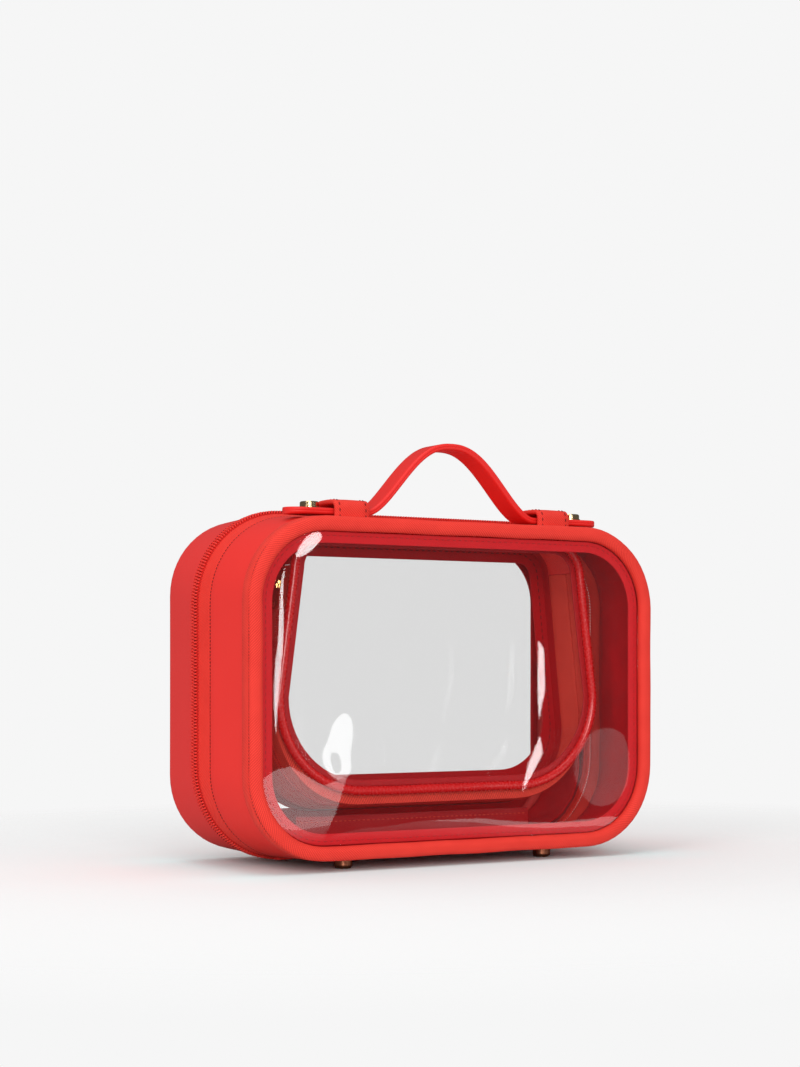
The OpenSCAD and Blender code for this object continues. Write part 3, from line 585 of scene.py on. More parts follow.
def film(name, outline, y, thick, bow, material, body, replaces):
    """A clear sheet that fills an outline: half its width, its lower and upper edge, the
    radii of its lower and upper corners, how far its sides draw in towards the top and
    how far it stands to the right. bow(x, z) moves it to the back, and less at its rim."""
    w, low, high, r, q, draw, shift = outline
    columns, rows = 72, 56
    # The sheet moves freely from this share of its size in from its rim
    free_across, free_up = 1 / 10, 1 / 8
    xs = w * np.sin(np.linspace(-math.pi / 2, math.pi / 2, columns))
    out = np.abs(xs)
    first = low + r - np.sqrt(np.maximum(r * r - np.maximum(out - w + r, 0) ** 2, 0))
    last = high - q + np.sqrt(np.maximum(q * q - np.maximum(out - w + draw + q, 0) ** 2, 0))
    last -= np.maximum(out - w + draw, 0) / max(draw, 1e-6) * (high - q - low - r)
    share = (1 - np.cos(np.linspace(0, math.pi, rows))) / 2
    x = np.repeat(xs[:, None], rows, 1)
    z = first[:, None] + np.maximum(last - first, 0.02)[:, None] * share[None]
    edge = np.minimum(np.minimum(share, 1 - share)[None] / free_up * np.ones_like(x),
                      (w - np.abs(x)) / w / free_across).clip(0, 1)
    back = bow(x, z) * edge * edge * (3 - 2 * edge)
    front_face = np.stack([x + shift, y + back, z], axis=2)
    rear_face = front_face + np.array([0, thick, 0])
    size = columns * rows
    vertices = np.vstack([front_face.reshape(-1, 3), rear_face.reshape(-1, 3)]) * MM
    faces = []
    for i in range(columns - 1):
        for j in range(rows - 1):
            a = i * rows + j
            quad = (a, a + rows, a + rows + 1, a + 1)
            faces += [quad, tuple(size + k for k in reversed(quad))]
    rim = ([i * rows for i in range(columns)] + [(columns - 1) * rows + j for j in range(1, rows)]
           + [i * rows + rows - 1 for i in range(columns - 2, -1, -1)] + list(range(rows - 2, 0, -1)))
    for a, b in zip(rim, rim[1:] + rim[:1]):
        faces.append((a, size + a, size + b, b))
    mesh = bpy.data.meshes.new(name)
    mesh.from_pydata(vertices.tolist(), [], faces)
    return finish_piece(name, outward(mesh), material, body, replaces, sharp=60)


# ---------------------------------------------------------------- rows along a seam

def grow_tree():
    """Geometry nodes that set beads, such as stitches or coil turns, along a seam."""
    tree = bpy.data.node_groups.new("beads_along_seam", "GeometryNodeTree")
    tree.interface.new_socket("Seam", in_out="INPUT", socket_type="NodeSocketGeometry")
    for name in ("Pitch", "Length", "Width", "Height", "Lean", "Lift"):
        tree.interface.new_socket(name, in_out="INPUT", socket_type="NodeSocketFloat")
    for name in ("Sides", "Rings"):
        tree.interface.new_socket(name, in_out="INPUT", socket_type="NodeSocketInt")
    tree.interface.new_socket("Finish", in_out="INPUT", socket_type="NodeSocketMaterial")
    tree.interface.new_socket("Beads", in_out="OUTPUT", socket_type="NodeSocketGeometry")

    def add(kind, settings=None, values=None):
        made = tree.nodes.new(kind)
        for key, value in (settings or {}).items():
            setattr(made, key, value)
        for key, value in (values or {}).items():
            if isinstance(value, bpy.types.NodeSocket):
                tree.links.new(value, made.inputs[key])
            else:
                made.inputs[key].default_value = value
        return made

    given = add("NodeGroupInput").outputs
    curve = add("GeometryNodeMeshToCurve", None, {"Mesh": given["Seam"]})
    points = add("GeometryNodeResampleCurve", {"mode": "LENGTH"},
                 {"Curve": curve.outputs[0], "Length": given["Pitch"]})
    up = add("GeometryNodeInputNamedAttribute", {"data_type": "FLOAT_VECTOR"}, {"Name": "up"})
    lift = add("ShaderNodeVectorMath", {"operation": "SCALE"}, {0: up.outputs[0], "Scale": given["Lift"]})
    raised = add("GeometryNodeSetPosition", None, {"Geometry": points.outputs[0], "Offset": lift.outputs[0]})
    way = add("GeometryNodeInputTangent")
    turn = add("FunctionNodeAxesToRotation", {"primary_axis": "X", "secondary_axis": "Z"},
               {0: way.outputs[0], 1: up.outputs[0]})
    lean = add("FunctionNodeAxisAngleToRotation", None, {"Axis": (0, 0, 1), "Angle": given["Lean"]})
    leaning = add("FunctionNodeRotateRotation", {"rotation_space": "LOCAL"},
                  {0: turn.outputs[0], 1: lean.outputs[0]})
    size = add("ShaderNodeCombineXYZ", None, {0: given["Length"], 1: given["Width"], 2: given["Height"]})
    bead = add("GeometryNodeMeshUVSphere", None, {"Segments": given["Sides"], "Rings": given["Rings"],
                                                  "Radius": 0.5})
    beads = add("GeometryNodeInstanceOnPoints", None,
                {"Points": raised.outputs[0], "Instance": bead.outputs[0],
                 "Rotation": leaning.outputs[0], "Scale": size.outputs[0]})
    real = add("GeometryNodeRealizeInstances", None, {0: beads.outputs[0]})
    dressed = add("GeometryNodeSetMaterial", None, {"Geometry": real.outputs[0], "Material": given["Finish"]})
    add("NodeGroupOutput", None, {0: dressed.outputs[0]})
    return tree


BEADS = grow_tree()


def seam(ring, y, inset, loop=False, up=None):
    """A seam round a ring: its points, and the way out of the surface at each, or the
    way up where that is given."""
    path = ring(y, inset)
    if loop:
        path = np.vstack([path, path[:1]])
    step = np.gradient(path, axis=0)
    if loop:
        step[0] = step[-1] = step[0] + step[-1]
    out = np.column_stack([-step[:, 1], np.zeros(len(path)), step[:, 0]])
    out /= np.linalg.norm(out, axis=1)[:, None]
    if up is not None:
        out[:] = up
    return np.insert(path, 1, y, axis=1), out


def beads(name, seams, material, body, slot, pitch, length, width, height, lean=0.0, lift=0.0,
          sides=6, rings=4, replaces=()):
    """Sets beads along seams, pitch apart, and rides them on a body as one piece. They
    lean by an angle in degrees; all other sizes are in millimetres."""
    points = np.vstack([s[0] for s in seams]) * MM
    ups = np.vstack([s[1] for s in seams])
    edges, first = [], 0
    for s in seams:
        edges += [(first + i, first + i + 1) for i in range(len(s[0]) - 1)]
        first += len(s[0])
    mesh = bpy.data.meshes.new(name + "_seam")
    mesh.from_pydata(points.tolist(), edges, [])
    up = mesh.attributes.new("up", "FLOAT_VECTOR", "POINT")
    up.data.foreach_set("vector", ups.astype(np.float32).ravel())
    carrier = bpy.data.objects.new(name + "_seam", mesh)
    bpy.context.scene.collection.objects.link(carrier)
    grown = carrier.modifiers.new("beads", "NODES")
    grown.node_group = BEADS
    values = {"Pitch": pitch * MM, "Length": length * MM, "Width": width * MM, "Height": height * MM,
              "Lean": math.radians(lean), "Lift": lift * MM, "Sides": sides, "Rings": rings,
              "Finish": material}
    for item in BEADS.interface.items_tree:
        if item.in_out == "INPUT" and item.name in values:
            grown[item.identifier] = values[item.name]
    graph = bpy.context.evaluated_depsgraph_get()
    result = bpy.data.meshes.new_from_object(carrier.evaluated_get(graph), depsgraph=graph)
    bpy.data.objects.remove(carrier)
    result.name = name
    return finish_piece(name, result, material, body, replaces, sharp=180)


# ---------------------------------------------------------------- front half

ROLL_W, ROLL_D, ROLL_PROUD = 7.0, 6.2, 0.8
GUSSET_Y = FRONT_Y + 0.44 * ROLL_D
SKIN_T, STRIP_W, STRIP_T = 1.0, 7.0, 0.6
STRIP_BACK = GUSSET_Y + STRIP_W
FILM_INSET, FILM_Y, FILM_T, FILM_WAVE = 6.3, -43.0, 0.5, 0.3
FLANGE_Y, FLANGE_T, FLANGE_IN, FLANGE_SEAM = -42.4, 1.0, 11.6, 8.2
LINING_FRONT, LINING_OUT, LINING_IN = -39.2, 2.3, 3.1
# The roll's section: how deep and how far in each point lies, as shares of its size
ROLL_POINTS = ((0, 0.48), (0.06, 0.22), (0.2, 0.06), (0.36, 0.01), (0.43, 0.1), (0.43, 0.28),
               (0.86, 0.32), (0.98, 0.52), (0.84, 0.8), (0.55, 0.97), (0.22, 0.92), (0.03, 0.7))


def smoothed(section):
    """A closed section with a smooth curve through its points."""
    p = np.array(section, float)
    n, points = len(p), []
    for k in range(n):
        a, b, c, d = (p[(k + i) % n] for i in (-1, 0, 1, 2))
        for t in np.linspace(0, 1, 4, endpoint=False):
            points.append(0.5 * (2 * b + (c - a) * t + (2 * a - 5 * b + 4 * c - d) * t * t
                                 + (3 * b - a - 3 * c + d) * t ** 3))
    return points


def shallow(amount, grain, seed):
    """A wave for a band, in and out by up to amount."""
    return lambda points: ripple(points, amount, grain, seed)


def folds(amount, seed):
    """A wave for a lining: folds across the strip that stand off the wall only."""
    return lambda points: -np.abs(ripple(points, amount, 15, seed, (1, 0.45, 1)))


roll_section = smoothed([(FRONT_Y + depth * ROLL_D, width * ROLL_W - ROLL_PROUD)
                         for depth, width in ROLL_POINTS])
band("binding_roll", roll_section, TWILL, "front_half", ["front_roll"],
     wave=shallow(0.35, 22, 3.1), sharp=80)
strip_section = [(GUSSET_Y + 0.1, 0.02), (GUSSET_Y + 0.12, -0.25), (GUSSET_Y + 0.7, -STRIP_T),
                 (-40, -STRIP_T - 0.05), (STRIP_BACK - 0.9, -STRIP_T + 0.02),
                 (STRIP_BACK - 0.1, -0.2), (STRIP_BACK, 0.02)]
band("trim_strip", strip_section, TWILL, "front_half", ["trim_strip"], sharp=80)
beads("binding_stitches", [seam(case_ring, GUSSET_Y - 0.02, -0.42, True)], DARK_THREAD,
      "front_half", "red_twill", pitch=1.5, length=1.1, width=0.42, height=0.5)
band("front_gusset", eased(GUSSET_Y, SEAM_Y, 0, SKIN_T, 0.45, 4, 10), WALL, "front_half",
     ["front_gusset"], wave=shallow(0.22, 46, 1.7))
band("front_lining", eased(LINING_FRONT, SEAM_Y, LINING_OUT, LINING_IN, 0.2, 2, 9), LINING,
     "front_half", ["front_lining"], wave=folds(1.6, 4.4))
band("front_flange", eased(FLANGE_Y, FLANGE_Y + FLANGE_T, FILM_INSET + 0.1, FLANGE_IN, 0.3, 3, 5),
     FLANGE, "front_half", ["front_flange"])
beads("flange_stitches", [seam(case_ring, FLANGE_Y - 0.02, FLANGE_SEAM, True, (0, -1, 0))],
      SEAM_THREAD, "front_half", "red_twill", pitch=3.2, length=2.1, width=0.5, height=0.4)


def sheet_ripple(x, z, *waves):
    """The sum of some ripples over a sheet, each given as its amount, grain and seed."""
    flat = np.column_stack([x.ravel(), np.zeros(x.size), z.ravel()])
    return sum(ripple(flat, *wave) for wave in waves).reshape(x.shape)


def front_bow(x, z):
    """The front film ripples gently."""
    return sheet_ripple(x, z, (FILM_WAVE, 66, 7.7), (0.03, 23, 2.9))


def film_outline(y, inset):
    """The case's outline for a film, with straight sides."""
    r = corner_r(y) - inset
    return half_w(y) - inset, low_z(y) + inset, high_z(y) - inset, r, r, 0, 0


film("front_window", film_outline(FILM_Y, FILM_INSET), FILM_Y - FILM_WAVE, FILM_T, front_bow, FILM,
     "front_half", ["front_window"])


# ---------------------------------------------------------------- the case's zip

COIL_PITCH, COIL_W, COIL_H = 1.45, 3.3, 1.9
TAPE_OUTER, TAPE_INNER = 0.2, 0.8
# How far from the middle of the zip the tape's edge, the coil and its two seams lie
TAPE_EDGE, COIL_MIDDLE, COIL_SEAM, TAPE_SEAM = 0.6, 1.3, 2.0, 3.3


def zip_half(body, side, back):
    """A tape of the zip with its coil and stitches. Side is -1 in front and 1 behind,
    and back is where the tape is sewn on."""
    half = body.split("_")[0]
    edge = PART_Y + side * TAPE_EDGE
    section = eased(min(back, edge), max(back, edge), TAPE_OUTER, TAPE_INNER, 0.2, 2, 5)
    band(half + "_zip_tape", section, TAPE, body, [half + "_zip_tape"], zip_ring, False)
    path, ups = seam(zip_ring, PART_Y + side * COIL_MIDDLE, -0.1)
    if side > 0:
        # The turns of one coil lie between those of the other
        way = np.gradient(path, axis=0)
        path = path + way / np.linalg.norm(way, axis=1)[:, None] * COIL_PITCH / 2
    beads(half + "_zip_coil", [(path, ups)], COIL, body, "red_coil", pitch=COIL_PITCH, length=1.25,
          width=COIL_W, height=COIL_H, lean=side * 8, lift=0.1, sides=8, rings=6,
          replaces=[half + "_zip_coil"])
    beads(half + "_coil_stitches", [seam(zip_ring, PART_Y + side * COIL_SEAM, -0.75)], DARK_THREAD,
          body, "red_coil", pitch=COIL_PITCH, length=0.75, width=0.7, height=0.6)
    beads(half + "_tape_stitches", [seam(zip_ring, PART_Y + side * TAPE_SEAM, 0.1)], SEAM_THREAD,
          body, "red_tape", pitch=COIL_PITCH, length=1.0, width=0.5, height=0.5)


zip_half("front_half", -1, SEAM_Y)
zip_half("rear_half", 1, REAR_SEAM_Y)
beads("gusset_seam_stitches", [seam(zip_ring, SEAM_Y + 0.35, 0.16)], DARK_THREAD, "front_half",
      "red_tape", pitch=1.6, length=1.2, width=0.6, height=0.5)


# ---------------------------------------------------------------- rear half

EDGE_R, EDGE_INNER_R, BACK_FRAME_W = 6.0, 5.0, 9.0
LINING_BACK = 39.4
REAR_FLANGE_FRONT, REAR_FLANGE_BACK = 43.4, 44.3
REAR_FLANGE_OUT, REAR_FLANGE_IN, SILL_RISE = 6.0, 9.5, 9.0
REAR_FILM_Y, REAR_FILM_INSET = 44.4, 6.5


def back_edge(r, start, end, points):
    """A quarter round about the middle of the rounded back edge, as [y, inset]."""
    return [(BACK_Y - EDGE_R + r * math.sin(a), EDGE_R - r * math.cos(a))
            for a in np.radians(np.linspace(start, end, points))]


def sill_ring(y, inset):
    """The rear frame is wider along the bottom, where the lining behind it stands up."""
    rise = SILL_RISE * (inset - REAR_FLANGE_OUT) / (REAR_FLANGE_IN - REAR_FLANGE_OUT)
    return rounded(half_w(y) - inset, low_z(y) + inset + rise, high_z(y) - inset,
                   corner_r(y) - inset)


shell = [(REAR_SEAM_Y, 0.35), (REAR_SEAM_Y + 0.15, 0.08), (REAR_SEAM_Y + 0.5, 0.0)]
shell += [(y, 0.0) for y in np.linspace(15, BACK_Y - EDGE_R - 1, 8)]
shell += back_edge(EDGE_R, 0, 90, 11)
shell += [(BACK_Y - 0.02, BACK_FRAME_W - 0.8), (BACK_Y - 0.3, BACK_FRAME_W - 0.1),
          (BACK_Y - 0.9, BACK_FRAME_W)]
shell += back_edge(EDGE_INNER_R, 90, 0, 7)
shell += [(REAR_SEAM_Y, SKIN_T)]
# The rear shell wears the darker copy of the leathercloth, whose darker tone is painted shade.
band("rear_shell", shell, REAR_WALL_PAINTED_SHADE, "rear_half", ["rear_shell"],
     wave=shallow(0.22, 46, 5.2))
rear_flange = eased(REAR_FLANGE_FRONT, REAR_FLANGE_BACK, REAR_FLANGE_OUT, REAR_FLANGE_IN, 0.3, 3, 3)
band("rear_flange", rear_flange, LINING, "rear_half", ["rear_flange"], sill_ring)
band("rear_lining", eased(REAR_SEAM_Y + 0.05, LINING_BACK, LINING_OUT, LINING_IN, 0.2, 2, 9), LINING,
     "rear_half", ["rear_lining"], wave=folds(2.4, 8.8))


def rear_bow(x, z):
    """The rear film ripples and bulges a little into the case."""
    return sheet_ripple(x, z, (0.6, 38, 1.2)) - 0.4


film("rear_window", film_outline(REAR_FILM_Y, REAR_FILM_INSET), REAR_FILM_Y, FILM_T, rear_bow,
     REAR_FILM, "rear_half", ["rear_window"])


# ---------------------------------------------------------------- hinge

hinge = band("hinge_strip", eased(SEAM_Y, REAR_SEAM_Y, 0, SKIN_T, 0.3, 2, 18), WALL, None,
             ["front_hinge_strip", "rear_hinge_strip"], hinge_ring, False)
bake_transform(hinge)

FIN_Y, FIN_T, FIN_LOW, FIN_HIGH = -2.0, 1.6, 4.9, 22.6
# The seam's height below the fin's top, and how much of its lean and curl the fin has there
FIN_SEAM_DROP, SEAM_LEAN, SEAM_CURL = 3.2, 0.86, 0.74


def wander(x, grain, row, level=0.0):
    """A soft wave along x; row and level tell one wave from another."""
    return noise.noise(Vector((x / grain, row, level)))


def fin_wander(x):
    """How far the fin leans, and how far it curls, at x."""
    return wander(x, 21, 3.3), wander(x, 21, 3.3, 0.6)


def hinge_fin():
    """The strip that stands up inside the case at the hinge, with a seam near its top."""
    rings = []
    for x in np.linspace(-HINGE_HALF, HINGE_HALF, 67):
        lean, curl = fin_wander(x)
        top = FIN_HIGH - 0.5 + 0.5 * wander(x, 30, 9)
        section = []
        for way, heights in ((-1, np.linspace(FIN_LOW, top, 9)), (1, np.linspace(top, FIN_LOW, 9))):
            for z in heights:
                share = (z - FIN_LOW) / (top - FIN_LOW)
                thick = FIN_T / 2 * (1 if share < 0.97 else 0.6)
                section.append((x, FIN_Y + way * thick + lean * share + curl * share * share, z))
        rings.append(section)
    finish_piece("hinge_fin", skin("hinge_fin", rings, False), BAND, "front_half",
                 ["hinge_fin"])
    path = []
    for x in np.linspace(-HINGE_HALF + 3, HINGE_HALF - 3, 60):
        lean, curl = fin_wander(x)
        path.append((x, FIN_Y - FIN_T / 2 - 0.05 + lean * SEAM_LEAN + curl * SEAM_CURL,
                     FIN_HIGH - FIN_SEAM_DROP))
    beads("fin_stitches", [(np.array(path), np.tile((0, -1, 0), (len(path), 1)))], PALE_THREAD,
          "front_half", "red_lining", pitch=2.6, length=1.8, width=0.5, height=0.45)


hinge_fin()


# ---------------------------------------------------------------- handle

HANDLE_Y, STRAP_Z, STRAP_W, STRAP_T = -29.0, 161.72, 14.5, 3.0
KEEPER_X, KEEPER_L, CROWN_HALF, STRAP_END = 47.0, 18.0, 10.0, 86.0
HANDLE_RISE, ARCH_POWER = 33.0, 1.25


def strap_rise(x):
    """How high the raised strap stands at x above its ends."""
    t = 1 - min(1.0, abs(x) / KEEPER_X) ** ARCH_POWER
    return HANDLE_RISE * t * t * (3 - 2 * t)


def strap_section():
    """Across and up: rounded edges with a fine groove where the two plies meet."""
    w, t = STRAP_W / 2, STRAP_T / 2
    side = [(w - 1.1, t), (w - 0.35, t - 0.25), (w, t - 0.8), (w - 0.02, 0.22), (w - 0.22, 0.0),
            (w - 0.02, -0.22), (w, -t + 0.8), (w - 0.35, -t + 0.25), (w - 1.1, -t)]
    across = [(x, -t) for x in np.linspace(w - 1.1, -w + 1.1, 8)[1:-1]]
    return side + across + [(-a, -u) for a, u in side] + [(-a, -u) for a, u in across]


def strap_half(side, way):
    """Half the strap, from the crown to its round end beyond the stud."""
    rings = []
    step = 0.01
    round_x = STRAP_END - STRAP_W / 2
    inner = np.linspace(0, KEEPER_X, 40)
    outer = np.linspace(KEEPER_X, round_x, 12)[1:]
    tip = round_x + STRAP_W / 2 * np.sin(np.radians(np.linspace(8, 84, 10)))
    for x in [*inner, *outer, *tip]:
        past = max(0.0, x - round_x)
        width = 2 * math.sqrt(max((STRAP_W / 2) ** 2 - past * past, 0.3))
        wide = max(width / STRAP_W, 0.16)
        slope = math.atan2(strap_rise(x + step) - strap_rise(x - step), 2 * step)
        z = STRAP_Z + strap_rise(x) + STRAP_T / 2
        rings.append([(side * (x - u * math.sin(slope)), HANDLE_Y + a * wide, z + u * math.cos(slope))
                      for a, u in strap_section()])
    name = "handle_strap_" + way
    nodes = ["handle_leg_" + way, "handle_tab_" + way] + (["handle_crown"] if side < 0 else [])
    piece = finish_piece(name, skin(name, rings, False), STRAP, None, nodes)
    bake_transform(piece)


def keeper_path(wall):
    """The middle of the keeper's wall from its front foot over the strap to its back
    foot, as [y, z] from the middle of the strap, and the way out of it at each point."""
    half_in, height = STRAP_W / 2 + 1.0, 7.2
    corner, shoulder, arch = 3, 3.5, 0.25
    foot_front, foot_back = 160.9, 161.3
    out, top = half_in + wall / 2, foot_front + height
    path = [(-out, foot_front), (-out, top - shoulder)]
    path += [(-out + corner - corner * math.cos(a), top - shoulder + corner * math.sin(a))
             for a in np.radians(np.linspace(15, 90, 6))]
    path += [(y, top - 0.5 + arch * math.cos(y / half_in * 1.5)) for y in np.linspace(-5, 5, 7)]
    path += [(out - corner + corner * math.cos(a), top - shoulder + corner * math.sin(a))
             for a in np.radians(np.linspace(90, 15, 6))]
    path = np.array([*path, (out, top - shoulder), (out, foot_back)])
    step = np.gradient(path, axis=0)
    normal = np.column_stack([-step[:, 1], step[:, 0]])
    return path, normal / np.linalg.norm(normal, axis=1)[:, None]


def keeper(side, way):
    """A stitched loop that the strap slides through."""
    name, wall, hem = "keeper_" + way, 2.0, 2.2
    path, normal = keeper_path(wall)
    middle = side * (KEEPER_X + KEEPER_L / 2)
    h, t, e = KEEPER_L / 2, wall / 2, 0.5
    section = [(-h + e, t), (-h / 2, t + 0.1), (0, t + 0.15), (h / 2, t + 0.1), (h - e, t), (h, t - e),
               (h, -t + e), (h - e, -t), (-h + e, -t), (-h, -t + e), (-h, t - e)]
    rings = [[(middle + a, HANDLE_Y + y + ny * u, z + nz * u) for a, u in section]
             for (y, z), (ny, nz) in zip(path, normal)]
    finish_piece(name, skin(name, rings, False), TWILL, "front_half", [name])
    rows = []
    for offset in (-h + hem, h - hem):
        points = [(middle + offset, HANDLE_Y + y + ny * (t + 0.1), z + nz * (t + 0.1))
                  for (y, z), (ny, nz) in zip(path, normal)]
        rows.append((np.array(points), np.column_stack([np.zeros(len(path)), normal])))
    beads(name + "_stitches", rows, DARK_THREAD, "front_half", "red_twill", pitch=2.9, length=1.9,
          width=0.55, height=0.5)


strap_half(-1, "left")
strap_half(1, "right")
keeper(-1, "left")
keeper(1, "right")


# ---------------------------------------------------------------- pouch

POUCH_ZIP_Y, SLIT, BAND_FRONT, BAND_BULGE_Y = -11.0, 0.8, 4.0, 7.0
TAPE_FLAT_Y, POUCH_COIL_OFF, POUCH_FILM_T = -17.6, 1.15, 0.4
TAPE_IN, BAND_BACK = TAPE_OUT + POUCH_T, RIM_Y - RIM_R


def pouch_lid():
    """The front of the pouch: glossy tube, band behind it and the front zip tape."""
    band("pouch_front_tube", circle(TUBE_Y, TUBE_R, TUBE_R, 16), TUBE, "pouch_lid",
         ["pouch_front_tube"], pouch_ring, wave=shallow(0.3, 24, 6.1))
    front, out = TUBE_Y + 0.3, 2 * TUBE_R
    band("pouch_front_band", eased(front, front + POUCH_T, out, out + FRONT_BAND_W, 0.3, 3, 4),
         BAND, "pouch_lid", ["pouch_front_band"], pouch_ring)
    tape = [(SAG_Y, TAPE_OUT + 0.1), (SAG_Y + 0.35, TAPE_OUT), (SAG_Y + 0.85, TAPE_OUT),
            (SAG_Y + SAG_D, TAPE_OUT + 0.05)]
    tape += [(y, TAPE_OUT) for y in np.linspace(TAPE_FLAT_Y, POUCH_ZIP_Y - SLIT / 2, 6)]
    tape += [(y, TAPE_IN) for y, _ in tape[::-1]]
    band("pouch_front_tape", tape, POUCH_TAPE, "pouch_lid", ["pouch_front_tape"],
         pouch_zip_ring, False)
    edge = seam(pouch_zip_ring, SAG_Y + 0.5, TAPE_OUT - 0.05, False, (0, -1, 0))
    beads("pouch_edge_stitches", [edge], PALE_THREAD, "pouch_lid", "red_tape", pitch=3.1, length=2.1,
          width=0.6, height=0.5)


def pouch_zip():
    """The rear zip tape, both coils, and the gusset between the ends of the zip."""
    tape = eased(POUCH_ZIP_Y + SLIT / 2, BAND_FRONT, TAPE_OUT, TAPE_IN, 0.25, 2, 5)
    band("pouch_back_tape", tape, POUCH_TAPE, "pouch", ["pouch_back_tape"],
         pouch_zip_ring, False)
    for name, body, side in (("pouch_front_coil", "pouch_lid", -1), ("pouch_back_coil", "pouch", 1)):
        row = seam(pouch_zip_ring, POUCH_ZIP_Y + side * POUCH_COIL_OFF, TAPE_OUT - 0.05)
        beads(name, [row], POUCH_COIL, body, "red_coil", pitch=1.15, length=0.95, width=2.1,
              height=0.9, sides=8, rings=5, replaces=[name])
    gusset = eased(TUBE_Y + TUBE_R + 0.3, BAND_FRONT, TAPE_OUT, TAPE_IN, 0.25, 2, 14)
    top = band("pouch_top_gusset", gusset, WALL, None, ["pouch_top_gusset"],
               pouch_top_ring, False)
    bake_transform(top)


def pouch_back():
    """The rear band, turned in along its back edge, with its rim and stitches."""
    turned_in, face = TAPE_IN + BACK_BAND_W, BAND_BACK - POUCH_T
    section = [(BAND_FRONT, TAPE_OUT + 0.3), (BAND_FRONT + 0.15, TAPE_OUT + 0.05),
               (BAND_FRONT + 0.5, TAPE_OUT), (BAND_BULGE_Y, TAPE_OUT - 0.1),
               (BAND_BACK - 0.3, TAPE_OUT), (BAND_BACK, TAPE_OUT + 0.4), (BAND_BACK, 5),
               (BAND_BACK, turned_in - 0.3), (BAND_BACK - 0.3, turned_in),
               (face, turned_in - 0.2), (face, 5), (face, TAPE_IN + 0.2),
               (BAND_BULGE_Y, TAPE_IN), (BAND_FRONT, TAPE_IN)]
    band("pouch_back_band", section, BAND, "pouch", ["pouch_back_band"],
         pouch_back_ring)
    band("pouch_back_rim", circle(RIM_Y, TAPE_OUT + RIM_R, RIM_R, 12), TUBE, "pouch",
         ["pouch_back_rim"], pouch_ring)
    row = seam(pouch_back_ring, face - 0.02, TAPE_IN + 3.4, True, (0, -1, 0))
    beads("pouch_back_stitches", [row], DARK_THREAD, "pouch", "red_lining", pitch=3.4, length=2.4,
          width=0.6, height=0.45)


def pouch_bow(amount, seed):
    """How a film of the pouch ripples."""
    return lambda x, z: sheet_ripple(x, z, (amount, 60, seed), (amount * 0.15, 21, seed + 3))


def pouch_sheet(y, inset):
    """The pouch's outline for a film."""
    return (POUCH_HALF - inset, pouch_low(y) + inset, POUCH_HIGH - inset, pouch_r(y) - inset,
            POUCH_TOP_R - inset, POUCH_DRAW, POUCH_SHIFT)


def pouch_hanger():
    """The strip from which the pouch hangs."""
    middle, low, high, half_l, half_t = -5.5, 154.5, 161.4, 40.0, 0.5
    heights = np.linspace(low, high, 8)
    rings = []
    for x in np.linspace(-half_l, half_l, 33):
        sway = [0.35 * wander(x, 14, 5.5, k / 3) for k in range(len(heights))]
        rings.append([(x, middle - half_t + s, z) for z, s in zip(heights, sway)]
                     + [(x, middle + half_t + s, z) for z, s in zip(heights[::-1], sway[::-1])])
    hanger = finish_piece("pouch_hanger", skin("pouch_hanger", rings, False), BAND, None,
                          ["pouch_hanger"])
    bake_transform(hanger)


pouch_lid()
pouch_zip()
pouch_back()
film("pouch_front_film", pouch_sheet(TUBE_Y, 2 * TUBE_R + 0.3), TUBE_Y - 0.2, POUCH_FILM_T,
     pouch_bow(0.7, 11.3), POUCH_FILM, "pouch_lid", ["pouch_front_film"])
film("pouch_back_film", pouch_sheet(RIM_Y, TAPE_OUT + 2 * RIM_R + 0.2), RIM_Y - 0.2, POUCH_FILM_T,
     pouch_bow(0.6, 15.9), POUCH_FILM, "pouch", ["pouch_back_film"])
pouch_hanger()


# ---------------------------------------------------------------- CAD nodes with their finishes

def dress(node, material):
    """Gives a CAD node that keeps its own mesh a finish."""
    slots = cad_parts[node].material_slots
    if slots:
        for s in slots:
            s.material = material
    else:
        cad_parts[node].data.materials.append(material)


DRESSED = (
    (COPPER, ("front_feet", "rear_feet")),
    (BRASS, ("front_foot_washers", "rear_foot_washers", "handle_stud_left", "handle_stud_right",
             "upper_slider", "upper_pull", "lower_slider", "lower_pull", "pouch_slider", "pouch_pull")),
    (BOARD, ("front_board", "rear_board")),
    (WALL, ("zip_end_tabs",)),
)
for material, nodes in DRESSED:
    for node in nodes:
        dress(node, material)


# ---------------------------------------------------------------- floor, backdrop and lamps

# Sizes, places and aims in this section are in metres, as Blender's own
BACKDROP = rgb(246, 246, 246)
FLOOR_PALE = rgb(238, 238, 238)
COOL_FLOOR = (0.76, 0.98, 0.98, 1)
MIRRORED_FLOOR = (0.02, 0.02, 0.02, 1)
MIRRORED_SHARE = 0.92
FLOOR_REACH, FLOOR_HALF_X, FLOOR_HALF_Y = 2, 0.34, 0.30
COOL_REACH, COOL_INSET, COOL_POWER = 0.05, 0.01, 1.7
WORLD_LEVEL, MIRRORED_LEVEL = 0.66, 0.11


